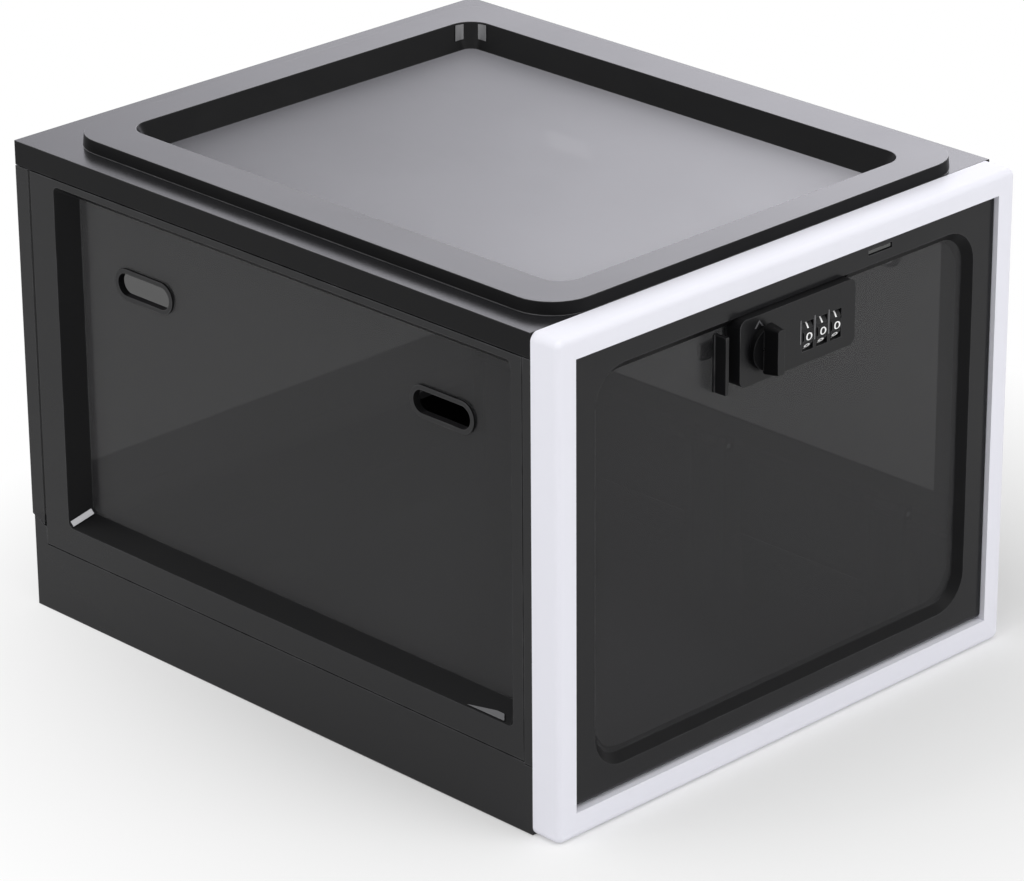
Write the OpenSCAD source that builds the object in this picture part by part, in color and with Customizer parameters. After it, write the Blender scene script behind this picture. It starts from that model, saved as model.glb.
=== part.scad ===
// Lock box with a drop-down smoked door, two fold-in side panels and a three-dial
// thumb-turn lock. Millimetres, +Z up, +Y to the rear, the door faces -Y.
// The origin is the centre of the base's underside.

/* [Box] */
// Width of the box from side to side
box_w = 300; // [260:1:360]
// Depth of the box from the white frame's face to the rear face
box_d = 360; // [320:1:420]
// Height of the box from its underside to the lid's flange
box_h = 240; // [220:1:290]
// Wall thickness of the moulded shells
wall = 2.5; // [2:0.1:3]
// Gap between shells that meet edge to edge
shell_gap = 0.5; // [0.4:0.05:0.8]

/* [White front frame] */
// Depth of the white frame
bezel_d = 16; // [15:0.5:20]
// Width of the white frame's two stiles
stile_w = 11.5; // [10.5:0.5:16]
// Height of the white top rail
rail_top = 11; // [9:0.5:15]
// Height of the white bottom rail
rail_bottom = 12.5; // [10:0.5:18]
// Radius of the white frame's outer front edge
bezel_edge_r = 3; // [1:0.5:4]
// Radius of the white frame's corners, seen from the front
bezel_corner_r = 4; // [3.5:0.5:6]
// Thickness of the black frame behind the white one
frame_t = 5; // [4.6:0.2:7]

/* [Door] */
// How far the door lies behind the white frame's face
door_setback = 2.5; // [2:0.25:4]
// Thickness of the door's border
door_t = 7.5; // [7:0.25:9]
// Gap around the door
door_gap = 0.5; // [0.4:0.05:0.8]
// Width of the door's border at the two sides
door_border_x = 13.5; // [12:0.5:22]
// Height of the door's border at the bottom
door_border_bottom = 12.5; // [12:0.5:22]
// Height of the door's border at the top
door_border_top = 10.5; // [9:0.5:14]
// Depth of the window's recess in the door
window_depth = 4; // [3:0.25:4.5]
// Slope of the window's walls, as their width seen from the front
window_slope = 4.2; // [1:0.2:5]
// Corner radius of the window
window_r = 18; // [10:1:30]
// Thickness of the door's pane
pane_t = 2; // [1.6:0.1:2.4]
// Radius of the door's round lower edge, which turns about the hinge pins
door_edge_r = 3.5; // [3.2:0.1:4]
// Radius of the door's hinge pins
door_pin_r = 1.6; // [1.2:0.1:1.8]
// How far the door's top catch is to the right of the middle
catch_x = 59; // [50:1:70]
// Width of the door's top catch
catch_w = 15; // [10:1:20]

/* [Side panels] */
// Thickness of a side panel
panel_t = 12.5; // [11.5:0.25:14]
// Depth of the recess in a side panel
recess_depth = 10; // [6:0.5:10.5]
// Slope of the recess's walls, as their width seen from the side
recess_slope = 7; // [2:0.5:9]
// Height of the seam between the left panel and the base
seam_z = 34.5; // [32:0.5:38]
// Border below a side panel's recess
panel_border_bottom = 14.5; // [14:0.5:20]
// Border above a side panel's recess
panel_border_top = 3.5; // [3:0.25:8]
// Border in front of a side panel's recess
panel_border_front = 6.6; // [4:0.2:12]
// Border behind a side panel's recess
panel_border_rear = 17; // [12:0.5:24]
// Length of a vent hole
vent_l = 36; // [26:1:44]
// Height of a vent hole
vent_h = 11; // [8:0.5:14]
// Width of the raised rim round a vent hole
vent_rim = 2.4; // [1.5:0.1:3]
// Distance of a vent hole from the recess's middle
vent_y = 100; // [70:1:105]
// Distance of the vent holes below the lid's flange
vent_drop = 57; // [50:1:80]
// Distance between neighbouring hinges of a side panel
hinge_pitch = 118; // [80:1:120]
// Radius of the side panels' hinge pins
hinge_pin_r = 1.5; // [1.2:0.1:1.8]
// Radius of the hinge knuckles
knuckle_r = 3.5; // [3.2:0.1:3.7]
// Length of a side panel's own knuckle
knuckle_l = 16; // [10:1:24]

/* [Lid] */
// Height of the lid's skirt
skirt_h = 12; // [11:0.5:16]
// Height of the raised rim on the lid
rim_h = 6.2; // [4:0.1:7]
// Margin beside the raised rim
rim_margin_side = 14; // [10:0.5:20]
// Margin in front of the raised rim
rim_margin_front = 0.4; // [0.4:0.2:12]
// Margin behind the raised rim
rim_margin_rear = 19.5; // [14:0.5:36]
// Width of the raised rim's top in front and behind
rim_w = 18; // [14:0.5:24]
// Width of the raised rim's top at the two sides
rim_w_side = 23; // [14:0.5:28]
// Depth of the sunken middle below the rim's top
lid_recess_depth = 12; // [7:0.5:13]
// Slope of the sunken middle's walls, seen from above
lid_recess_slope = 6.5; // [3:0.5:9]
// Outer corner radius of the raised rim
rim_r = 22; // [14:1:30]
// Corner radius of the sunken middle
lid_recess_r = 12; // [8:1:20]

/* [Rear panel] */
// Thickness of the rear panel
rear_t = 9; // [8:0.25:11]
// How far the rear panel stands out behind the base
rear_step = 1.4; // [0.5:0.1:2]
// Height of the rear panel's ends above the base's underside
rear_end_z = 48; // [46:0.5:52]
// Gap between a side panel and the rear panel
rear_gap = 1.4; // [0.6:0.1:2]
// Radius of the stub pins that carry the front frame, rear panel and lid
stub_r = 1.5; // [1:0.1:1.7]

/* [Lock] */
// Width of the lock's housing
lock_w = 76; // [72:0.5:84]
// Height of the lock's housing
lock_h = 32; // [30:0.5:36]
// How far the housing stands out of the pane
lock_proud = 8.2; // [7.6:0.1:9]
// Distance of the lock's middle below the lid's flange
lock_drop = 38.5; // [38:0.5:48]
// Distance of the knob's axis from the lock's left end
knob_in = 15.5; // [15:0.5:17]
// Radius of the knob's round base
knob_r = 10; // [9:0.25:12]
// Thickness of the knob's round base
knob_base_t = 2.8; // [2:0.1:4]
// Thickness of the thumb bar
bar_w = 7; // [5:0.25:9]
// Height of the thumb bar
bar_h = 24; // [18:0.5:24]
// How much the thumb bar narrows on each side towards its front
bar_slope = 1.3; // [0:0.1:1.5]
// How far the thumb bar stands out of the housing's face
bar_proud = 10.5; // [9:0.5:14]
// Radius of the lock's spindle
spindle_r = 3.5; // [2.5:0.1:4]
// Radius of a dial
dial_r = 9; // [8.6:0.1:9.4]
// Width of a dial
dial_w = 6.4; // [5:0.1:7]
// Distance between neighbouring dials
dial_pitch = 9.3; // [8.6:0.1:10]
// Distance of the last dial's middle from the lock's right end
dial_in = 13; // [12.4:0.1:15]
// How far the dials stand out of the housing's face
dial_proud = 0.8; // [0.4:0.1:1.2]
// How far the dials' axle is below the lock's middle
dial_drop = 3; // [0:0.5:4]
// Radius of the dials' axle
axle_r = 2; // [1.5:0.1:2.5]
// Number of digits on a dial
digits = 10; // [8:1:12]
// Distance of the pull fin to the left of the middle
pull_x = 45.6; // [44:0.2:52]
// Thickness of the pull fin
pull_t = 2; // [1.5:0.1:3]
// Height of the pull fin
pull_h = 27.5; // [20:0.5:32]
// How far the pull fin stands out of the pane
pull_proud = 7.8; // [5:0.1:9]

/* [Fits] */
// Radial running clearance of pins and shafts that turn
run_fit = 0.08; // [0.05:0.01:0.1]
// Radial clearance of pins that are pushed in and stay
push_fit = 0.02; // [0.01:0.01:0.04]
// Clearance between parts that slide past each other
pass_gap = 0.4; // [0.3:0.05:0.5]
// Clearance between parts seated in one another
seat_gap = 0.15; // [0.1:0.05:0.2]

/* [Hidden] */
$fn = 48;

// Colours as the photograph shows them
smoke = [0.2, 0.2, 0.21];
pane_smoke = [0.27, 0.27, 0.28];
lid_smoke = [0.42, 0.42, 0.44];
black = [0.08, 0.08, 0.09];
white = [0.94, 0.94, 0.96];
steel = [0.7, 0.71, 0.73];

// How far cutting shapes run past the surface that they cut
past = 1;
// Flats in each round corner of a tapered wall
corner_steps = 8;

// Small laps, clearances and insets
lap = 1;
screw_gap = 0.2;
pin_end_gap = 0.2;
pin_cover = 1.2;
pin_bore_over = 0.5;
liner_gap = 0.3;
tongue_gap = 0.3;
top_gap = 0.1;
edge_step = 22.5;

// The box's outer faces
side_x = box_w / 2;
front_y = -box_d / 2;
rear_y = box_d / 2;
skirt_z = box_h - skirt_h;
lock_z = box_h - lock_drop;
dial_z = lock_z - dial_drop;
vent_z = box_h - vent_drop;
knob_x = lock_w / 2 - knob_in;
dial_x = lock_w / 2 - dial_in - 2 * dial_pitch;

// The white frame, the black frame behind it and the opening that the door fills
bezel_back_y = front_y + bezel_d;
frame_back_y = bezel_back_y + frame_t;
open_x = side_x - stile_w;
open_z0 = rail_bottom;
open_z1 = box_h - rail_top;

// The door
door_x = open_x - door_gap;
door_z0 = open_z0 + door_gap;
door_z1 = open_z1 - door_gap;
door_face_y = front_y + door_setback;
door_back_y = door_face_y + door_t;
pane_face_y = door_face_y + window_depth;
pane_back_y = pane_face_y + pane_t;
hinge_y = door_face_y + door_edge_r;
hinge_z = door_z0 + door_edge_r;
door_pin_l = 14;
door_rib_gap = 1.4;
door_back_slope = 1;
door_pin_grip = 7;
catch_t = 1.6;
catch_drop = 0.8;
catch_slot_gap = 0.5;
catch_setback = 0.5;
catch_root = 5.8;
window_w = 2 * (door_x - door_border_x);
window_h = door_z1 - door_z0 - door_border_top - door_border_bottom;
window_z = (door_z1 - door_border_top + door_z0 + door_border_bottom) / 2;

// The black frame's lip that the door closes against and the cam turns behind
lip_w = 4;
lip_foot = 12;
frame_foot_drop = 14;
frame_lug_in = 9;
lip_top = 8;
lip_t = 2;
lip_front_y = door_back_y + pass_gap;
lip_back_y = lip_front_y + lip_t;
lip_bottom_z = door_z0 + door_t + lip_foot;
frame_foot_z = seam_z - frame_foot_drop;
frame_lug_x = side_x - frame_lug_in;

// The cam
cam_front_y = lip_back_y + pass_gap;
cam_t = 1.8;
cam_back_y = cam_front_y + cam_t;
cam_below = 2;
cam_reach = open_z1 - cam_below - lock_z;
cam_hub_r = 7.5;
cam_screw_l = 6.6;
cam_head_t = 1.6;
cam_head_over = 1.2;
washer_gap = 0.2;
washer_w = 2;
cam_w = 8;
pocket_left = 17.6;
pocket_right = 7;

// The side panels
panel_front_y = frame_back_y + pass_gap;
rear_in_y = rear_y - rear_t;
panel_rear_y = rear_in_y - rear_gap;
panel_top_z = skirt_z - shell_gap - top_gap;
panel_in_x = side_x - panel_t;
axis_out = 0.5;
hinge_x = panel_in_x + axis_out;
axis_rise = 5.5;
left_axis_z = seam_z + axis_rise;
stack_step = panel_t + shell_gap;
right_axis_z = left_axis_z + stack_step;
panel_mid_y = (panel_front_y + panel_border_front + panel_rear_y - panel_border_rear) / 2;
ear_t = 5;
ear_gap = 0.4;
ear_step = 0.8;
ear_foot_drop = 8;
panel_corner_r = 3;
channel_gap = 1.5;
channel_foot = 1.2;
vent_rim_h = 1.2;
knuckle_foot = 0.6;
hinge_pin_l = knuckle_l + 2 * (ear_t + ear_gap);
knuckle_cut_r = knuckle_r + pass_gap;

// The lid
rim_x = side_x - rim_margin_side;
rim_y0 = bezel_back_y + rim_margin_front;
rim_y1 = rear_y - rim_margin_rear;
rim_d = rim_y1 - rim_y0;
rim_mid_y = (rim_y0 + rim_y1) / 2;
rim_z = box_h + rim_h;
rim_slope = 0.6;
rim_draft = 0.6;
lid_ear_w = 6;
lid_ear_x = side_x - wall - lid_ear_w;
lug_x = lid_ear_x - ear_gap;
lug_w = 6.5;
stub_l = 11;
stub_x = side_x - pin_cover - pin_end_gap;
lid_stub_in = 4.4;
lid_stub_x = lid_ear_x + lid_stub_in;
lug_over = 3.5;
top_pin_rise = 4.5;
top_pin_z = skirt_z + top_pin_rise;

// The rear panel and the base's rear ears
rear_pin_in = 4;
rear_pin_y = rear_in_y + rear_pin_in;
rear_pin_rise = 5;
rear_pin_z = seam_z + rear_pin_rise;
rear_ear_w = 5;
rear_recess_slope = 5;
base_rear_y = rear_y - rear_step;
rear_end_drop = 3.4;

// The screws that hold the white frame
bezel_screw_l = 7.6;
bezel_bore_l = 8;
bezel_screw_margin = 25;
bezel_head_t = 1.6;
bezel_head_sink = 2.2;

// The front frame's lower pins
front_pin_drop = 9;
front_pin_y = (bezel_back_y + frame_back_y) / 2;
front_pin_z = seam_z - front_pin_drop;

// The lock
lock_face_y = pane_face_y - lock_proud;
lock_wall = 2;
boss_wall = 2.4;
lock_screw_in = 4;
screw_tip = 0.8;
screw_tip_gap = 0.3;
lock_head_t = 1.2;
lock_r = 4;
boss_r = spindle_r + boss_wall;
screw_r = 1.1;
screw_head_r = 2.2;
lock_screw_x = lock_w / 2 - lock_screw_in;
lock_screw_z = lock_h / 2 - lock_screw_in;
plate_t = 1.5;
plate_front_y = pane_back_y + seat_gap;
plate_back_y = plate_front_y + plate_t;
dial_y = lock_face_y - dial_proud + dial_r;
case_clear = 0.9;
case_back_y = dial_y + dial_r + case_clear;
case_wall = 1.4;
case_end = 3.5;
case_room = 1.5;
plate_inset = 1;
axle_cover = 1.2;
cheek_w = 2;
case_margin = dial_w / 2 + case_end;
case_x0 = dial_x - case_margin;
case_x1 = dial_x + 2 * dial_pitch + case_margin;
case_h = 2 * (dial_r + case_room);
knob_gap = 0.3;
knob_bore = 3.5;
knob_wall = 1;
tail_r = min((bar_w - bar_slope) / 2 - knob_wall, spindle_r);
bar_r = bar_w * 0.35;
mark_gap = 0.3;
mark_in = 3.4;
mark_h = 0.3;
mark_w = 2.8;
mark_l = 3.4;
mark_t = 1.1;
pull_drop = 3;
pull_foot = 3;
pull_foot_t = 1.2;
groove_out = 0.35;
groove_r = 0.8;
leaf_t = 0.4;
leaf_gap = 0.2;
leaf_foot = 3;
leaf_w = 3.2;
leaf_reach = 4;

dial_slot_w = dial_w + 2 * pass_gap;
dial_slot_h = 14;

// Straight-sided block between two corners
module block(x0, x1, y0, y1, z0, z1) {
    translate([x0, y0, z0]) cube([x1 - x0, y1 - y0, z1 - z0]);
}

// Round bar along X
module rod_x(x0, x1, y, z, r) {
    translate([x0, y, z]) rotate([0, 90, 0]) cylinder(r = r, h = x1 - x0);
}

// Round bar along Y
module rod_y(y0, y1, x, z, r) {
    translate([x, y1, z]) rotate([90, 0, 0]) cylinder(r = r, h = y1 - y0);
}

// The same shape on the left and on the right
module both_sides() {
    children();
    mirror([1, 0, 0]) children();
}

// Rectangle with round corners, centred
module round_rect(w, h, r) {
    square([w - 2 * r, h], center = true);
    square([w, h - 2 * r], center = true);
    for (x = [-1, 1]) {
        for (y = [-1, 1]) {
            translate([x * (w / 2 - r), y * (h / 2 - r)]) circle(r = r);
        }
    }
}

// Outline of a round-cornered rectangle as points, anticlockwise
function ring_points(w, h, r) = [
    for (corner = [0:3]) for (i = [0:corner_steps])
        let (a = 90 * (corner + i / corner_steps),
             sx = corner == 0 || corner == 3 ? 1 : -1,
             sy = corner < 2 ? 1 : -1)
            [sx * (w / 2 - r) + r * cos(a), sy * (h / 2 - r) + r * sin(a)]];

// Block with walls of one slope, at full size on z = 0 and narrower by the slope at its end
module tapered(w, h, r, depth, slope) {
    n = 4 * (corner_steps + 1);
    start = ring_points(w, h, r);
    end = ring_points(w - 2 * slope, h - 2 * slope, max(r - slope, 0.4));
    polyhedron(
        points = [for (p = start) [p.x, p.y, 0], for (p = end) [p.x, p.y, depth]],
        faces = [[for (i = [0:n - 1]) i],
                 [for (i = [n - 1:-1:0]) n + i],
                 for (i = [0:n - 1]) [i, n + i, n + (i + 1) % n, (i + 1) % n]]);
}

// Slot outline with round ends, centred, long way along the first axis
module stadium(l, h) {
    square([l - h, h], center = true);
    for (x = [-1, 1]) {
        translate([x * (l - h) / 2, 0]) circle(d = h);
    }
}

// Turns a drawing on the XY plane so that it lies on YZ and rises along +X
module on_side(x, y, z) {
    translate([x, y, z]) rotate([90, 0, 90]) children();
}

// Turns a drawing on the XY plane so that it lies on XZ and rises along +Y
module facing_rear(x, y, z) {
    translate([x, y, z]) rotate([-90, 0, 0]) children();
}

// Turns a drawing on the XY plane so that it lies on XZ and rises along -Y
module facing_front(x, y, z) {
    translate([x, y, z]) rotate([90, 0, 0]) children();
}

// The two ears and the web that carry one hinge of a side panel, on the left
module base_hinge(y, axis_z) {
    for (s = [-1, 1]) {
        ear_y = y + s * (knuckle_l / 2 + ear_gap + ear_t / 2);
        difference() {
            union() {
                rod_y(ear_y - ear_t / 2, ear_y + ear_t / 2, -hinge_x, axis_z, knuckle_r);
                block(-hinge_x + ear_step, -hinge_x + knuckle_r, ear_y - ear_t / 2, ear_y + ear_t / 2,
                      wall, axis_z);
                block(-side_x + wall, -hinge_x + knuckle_r, ear_y - ear_t / 2, ear_y + ear_t / 2,
                      wall, axis_z - ear_foot_drop);
            }
            rod_y(ear_y - ear_t, ear_y + ear_t, -hinge_x, axis_z, hinge_pin_r + push_fit);
        }
    }
}

// Where the hinges of a side panel are along the box
function hinge_stations() = [for (i = [-1:1]) panel_mid_y + i * hinge_pitch];

module base_tray() {
    right_seam_z = seam_z + stack_step;
    color(smoke) difference() {
        union() {
            block(-side_x, side_x, bezel_back_y, base_rear_y, 0, wall);
            block(-side_x, side_x, bezel_back_y, bezel_back_y + wall, 0, open_z0 - shell_gap);
            block(-side_x, side_x, base_rear_y - wall, base_rear_y, 0, seam_z);
            block(-side_x, -side_x + wall, bezel_back_y, frame_back_y, 0, seam_z - lap);
            block(side_x - wall, side_x, bezel_back_y, frame_back_y, 0, seam_z - lap);
            block(-side_x, -side_x + wall, frame_back_y, base_rear_y, 0, seam_z);
            block(side_x - wall, side_x, frame_back_y, rear_in_y - rear_gap, 0, right_seam_z);
            both_sides() {
                rear_ear();
                block(-side_x + wall, -frame_lug_x - ear_gap, bezel_back_y + wall, frame_back_y + wall,
                      wall, seam_z - 2 * lap);
            }
            for (y = hinge_stations()) {
                base_hinge(y, left_axis_z);
                mirror([1, 0, 0]) base_hinge(y, right_axis_z);
            }
        }
        both_sides() {
            rod_x(-side_x + pin_cover, -side_x + rear_ear_w + past, rear_pin_y, rear_pin_z,
                  stub_r + push_fit);
            rod_x(-side_x + pin_cover, -frame_lug_x, front_pin_y, front_pin_z, stub_r + push_fit);
        }
    }
}

// Ear at the base's rear corner, whose top slopes as the rear panel's end does
module rear_ear() {
    on_side(-side_x, 0, 0) linear_extrude(height = rear_ear_w) polygon([
        [panel_rear_y, 0],
        [base_rear_y, 0],
        [base_rear_y, rear_end_z - shell_gap],
        [rear_in_y, rear_end_z - rear_end_drop - shell_gap],
        [panel_rear_y, rear_end_z - rear_end_drop - shell_gap]]);
}

// Side panel drawn on the left; its hinge axis sets its lower edge
module side_panel(axis_z) {
    bottom_z = axis_z - axis_rise + shell_gap;
    recess_z0 = bottom_z - shell_gap + panel_border_bottom;
    recess_z1 = panel_top_z - panel_border_top;
    recess_l = panel_rear_y - panel_border_rear - panel_front_y - panel_border_front;
    recess_h = recess_z1 - recess_z0;
    pane_x = -side_x + recess_depth;
    union() {
        difference() {
            block(-side_x, -panel_in_x, panel_front_y, panel_rear_y, bottom_z, panel_top_z);
            on_side(-side_x, panel_mid_y, (recess_z0 + recess_z1) / 2)
                tapered(recess_l, recess_h, panel_corner_r, recess_depth, recess_slope);
            block(-side_x + wall, -panel_in_x + past, panel_rear_y - panel_border_rear + wall + channel_gap,
                  panel_rear_y - wall, bottom_z + wall, panel_top_z - wall);
            block(-side_x + wall, -panel_in_x + past, panel_front_y + wall, panel_rear_y - wall,
                  bottom_z + wall, recess_z0 - wall - channel_foot);
            for (s = [-1, 1]) {
                on_side(pane_x - past, panel_mid_y + s * vent_y, vent_z)
                    linear_extrude(height = wall + 2 * past) stadium(vent_l, vent_h);
            }
            for (y = hinge_stations()) {
                rod_y(y - hinge_pin_l / 2 - ear_gap, y + hinge_pin_l / 2 + ear_gap,
                      -hinge_x, axis_z, knuckle_cut_r);
            }
        }
        for (s = [-1, 1]) {
            on_side(pane_x - vent_rim_h, panel_mid_y + s * vent_y, vent_z) vent_ring();
        }
        for (y = hinge_stations()) {
            panel_knuckle(y, axis_z, bottom_z);
        }
    }
}

// Raised rim round one vent hole
module vent_ring() {
    linear_extrude(height = vent_rim_h + wall / 2) difference() {
        stadium(vent_l + 2 * vent_rim, vent_h + 2 * vent_rim);
        stadium(vent_l, vent_h);
    }
}

// Knuckle of a side panel, which turns on the hinge pin
module panel_knuckle(y, axis_z, bottom_z) {
    difference() {
        union() {
            rod_y(y - knuckle_l / 2, y + knuckle_l / 2, -hinge_x, axis_z, knuckle_r);
            block(-side_x + wall / 2, -hinge_x, y - knuckle_l / 2, y + knuckle_l / 2,
                  bottom_z + knuckle_foot, axis_z + knuckle_r);
        }
        rod_y(y - knuckle_l, y + knuckle_l, -hinge_x, axis_z, hinge_pin_r + run_fit);
    }
}

module left_side_panel() {
    color(pane_smoke) side_panel(left_axis_z);
}

module right_side_panel() {
    color(pane_smoke) mirror([1, 0, 0]) side_panel(right_axis_z);
}

// The three pins of one side's hinges, drawn on the left
module hinge_pins(axis_z) {
    for (y = hinge_stations()) {
        rod_y(y - hinge_pin_l / 2, y + hinge_pin_l / 2, -hinge_x, axis_z, hinge_pin_r);
    }
}

module left_hinge_pins() {
    color(steel) hinge_pins(left_axis_z);
}

module right_hinge_pins() {
    color(steel) mirror([1, 0, 0]) hinge_pins(right_axis_z);
}

module rear_panel() {
    body_z0 = rear_end_z - rear_end_drop;
    pane_h = panel_top_z - panel_border_top - rear_end_z - panel_border_bottom;
    pane_mid_z = rear_end_z + panel_border_bottom + pane_h / 2;
    lower_x = side_x - rear_ear_w - pass_gap;
    color(smoke) difference() {
        union() {
            on_side(-side_x, 0, 0) linear_extrude(height = box_w) polygon([
                [rear_in_y, body_z0],
                [rear_y, rear_end_z],
                [rear_y, skirt_z - pass_gap],
                [rear_in_y, skirt_z - pass_gap]]);
            block(-lower_x, lower_x, rear_in_y, base_rear_y - wall - seat_gap, seam_z + tongue_gap,
                  body_z0 + lap);
            both_sides() block(-lug_x, -lug_x + lug_w, rear_in_y, rear_y - wall - lap,
                               skirt_z - lap, top_pin_z + lug_over);
        }
        facing_front(0, rear_y, pane_mid_z)
            tapered(box_w - 2 * panel_border_rear, pane_h, panel_corner_r, rear_t - wall, rear_recess_slope);
        both_sides() {
            rod_x(-lower_x - past, -lower_x + stub_l, rear_pin_y, rear_pin_z, stub_r + push_fit);
            rod_x(-lug_x - past, -lug_x + lug_w + past, rear_pin_y, top_pin_z, stub_r + push_fit);
        }
    }
}

module rear_panel_pins() {
    color(steel) both_sides() {
        rod_x(-stub_x, -stub_x + stub_l, rear_pin_y, rear_pin_z, stub_r);
        rod_x(-lid_stub_x, -lid_stub_x + stub_l, rear_pin_y, top_pin_z, stub_r);
    }
}

module lid() {
    inner_x = side_x - wall;
    floor_z = rim_z - lid_recess_depth;
    well_x = rim_x - rim_w_side;
    well_d = rim_d - 2 * rim_w;
    color(lid_smoke) difference() {
        union() {
            block(-side_x, side_x, bezel_back_y, rear_y, skirt_z, box_h);
            translate([0, rim_mid_y, box_h - past]) linear_extrude(height = past)
                round_rect(2 * rim_x, rim_d, rim_r);
            translate([0, rim_mid_y, box_h]) tapered(2 * rim_x, rim_d, rim_r, rim_h, rim_slope);
        }
        difference() {
            union() {
                block(-inner_x, inner_x, bezel_back_y - past, rear_y - wall, skirt_z - past, box_h - wall);
                translate([0, rim_mid_y, box_h - wall - past])
                    tapered(2 * rim_x - 2 * wall, rim_d - 2 * wall, rim_r - wall,
                            rim_h + past, rim_slope + rim_draft);
            }
            translate([0, rim_mid_y, rim_z]) rotate([180, 0, 0])
                tapered(2 * well_x + 2 * wall, well_d + 2 * wall, lid_recess_r + wall,
                        lid_recess_depth + wall, lid_recess_slope);
            both_sides() {
                lid_ear(rear_in_y - lap, rear_y - wall + past);
                lid_ear(bezel_back_y - past, frame_back_y + wall);
            }
        }
        translate([0, rim_mid_y, rim_z]) rotate([180, 0, 0])
            tapered(2 * well_x, well_d, lid_recess_r, lid_recess_depth, lid_recess_slope);
        both_sides() {
            rod_x(-lid_stub_x - pin_end_gap, -lid_ear_x + past, rear_pin_y, top_pin_z, stub_r + push_fit);
            rod_x(-lid_stub_x - pin_end_gap, -lid_ear_x + past, front_pin_y, top_pin_z, stub_r + push_fit);
        }
    }
}

// Ear inside the lid's skirt that takes a stub pin, on the left
module lid_ear(y0, y1) {
    block(-side_x + wall - past, -lid_ear_x, y0, y1, skirt_z + ear_gap, box_h - wall + past);
}

module front_frame() {
    liner_x = open_x - liner_gap;
    liner_in_x = open_x - lip_w;
    liner_z1 = open_z1 - liner_gap;
    liner_z0 = open_z1 - lip_top;
    rail_x = lug_x;
    color(smoke) difference() {
        union() {
            both_sides() {
                block(-side_x, -liner_in_x, bezel_back_y, frame_back_y, seam_z - shell_gap,
                      skirt_z - pass_gap);
                block(-liner_x, -liner_in_x, lip_front_y, bezel_back_y + past, lip_bottom_z, liner_z1);
                block(-frame_lug_x, -liner_in_x, bezel_back_y, frame_back_y, frame_foot_z, seam_z);
            }
            block(-rail_x, rail_x, bezel_back_y, frame_back_y, liner_z0, box_h - wall - shell_gap);
            block(-liner_x, liner_x, lip_front_y, bezel_back_y + past, liner_z0, liner_z1);
        }
        block(-knob_x - pocket_left, -knob_x + pocket_right, lip_back_y, bezel_back_y + past,
              liner_z0 - past, liner_z1 + past);
        block(catch_x - catch_w / 2 - push_fit, catch_x + catch_w / 2 + push_fit, lip_front_y - past,
              lip_front_y + catch_root + seat_gap, catch_z() - catch_t / 2 - push_fit,
              catch_z() + catch_t / 2 + push_fit);
        both_sides() {
            rod_x(-frame_lug_x - past, -liner_in_x + past, front_pin_y, front_pin_z, stub_r + push_fit);
            rod_x(-rail_x - past, -rail_x + lug_w, front_pin_y, top_pin_z, stub_r + push_fit);
            for (z = bezel_screw_z()) {
                rod_y(bezel_back_y - past, frame_back_y + past, -bezel_screw_x(), z, screw_r + screw_gap);
                rod_y(frame_back_y - bezel_head_sink, frame_back_y + past, -bezel_screw_x(), z,
                      screw_head_r + screw_gap);
            }
        }
    }
}

function catch_z() = open_z1 - lip_top / 2 - catch_drop;
function bezel_screw_x() = side_x - stile_w / 2;
function bezel_screw_z() = [seam_z + bezel_screw_margin, (seam_z + skirt_z) / 2,
                            skirt_z - bezel_screw_margin];

module front_frame_pins() {
    color(steel) both_sides() {
        rod_x(-stub_x, -stub_x + stub_l, front_pin_y, front_pin_z, stub_r);
        rod_x(-lid_stub_x, -lid_stub_x + stub_l, front_pin_y, top_pin_z, stub_r);
    }
}

// White frame with a rolled outer front edge
module front_bezel() {
    color(white) difference() {
        hull() {
            for (a = [0:edge_step:90]) {
                inset = bezel_edge_r * (1 - cos(a));
                depth = bezel_edge_r * (1 - sin(a));
                facing_front(0, bezel_back_y, box_h / 2)
                    linear_extrude(height = bezel_d - depth)
                        round_rect(box_w - 2 * inset, box_h - 2 * inset, bezel_corner_r - inset, $fn = 32);
            }
        }
        block(-open_x, open_x, front_y - past, bezel_back_y + past, open_z0, open_z1);
        both_sides() {
            rod_x(-open_x - door_pin_grip - pin_end_gap, -open_x + past, hinge_y, hinge_z,
                  door_pin_r + push_fit);
            for (z = bezel_screw_z()) {
                rod_y(bezel_back_y - bezel_bore_l, bezel_back_y + past, -bezel_screw_x(), z,
                      screw_r + push_fit);
            }
        }
    }
}

module bezel_screws() {
    color(steel) both_sides() {
        for (z = bezel_screw_z()) {
            rod_y(bezel_back_y - bezel_screw_l, frame_back_y - bezel_head_sink, -bezel_screw_x(), z, screw_r);
            rod_y(frame_back_y - bezel_head_sink, frame_back_y - bezel_head_sink + bezel_head_t,
                  -bezel_screw_x(), z, screw_head_r);
        }
    }
}

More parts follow.
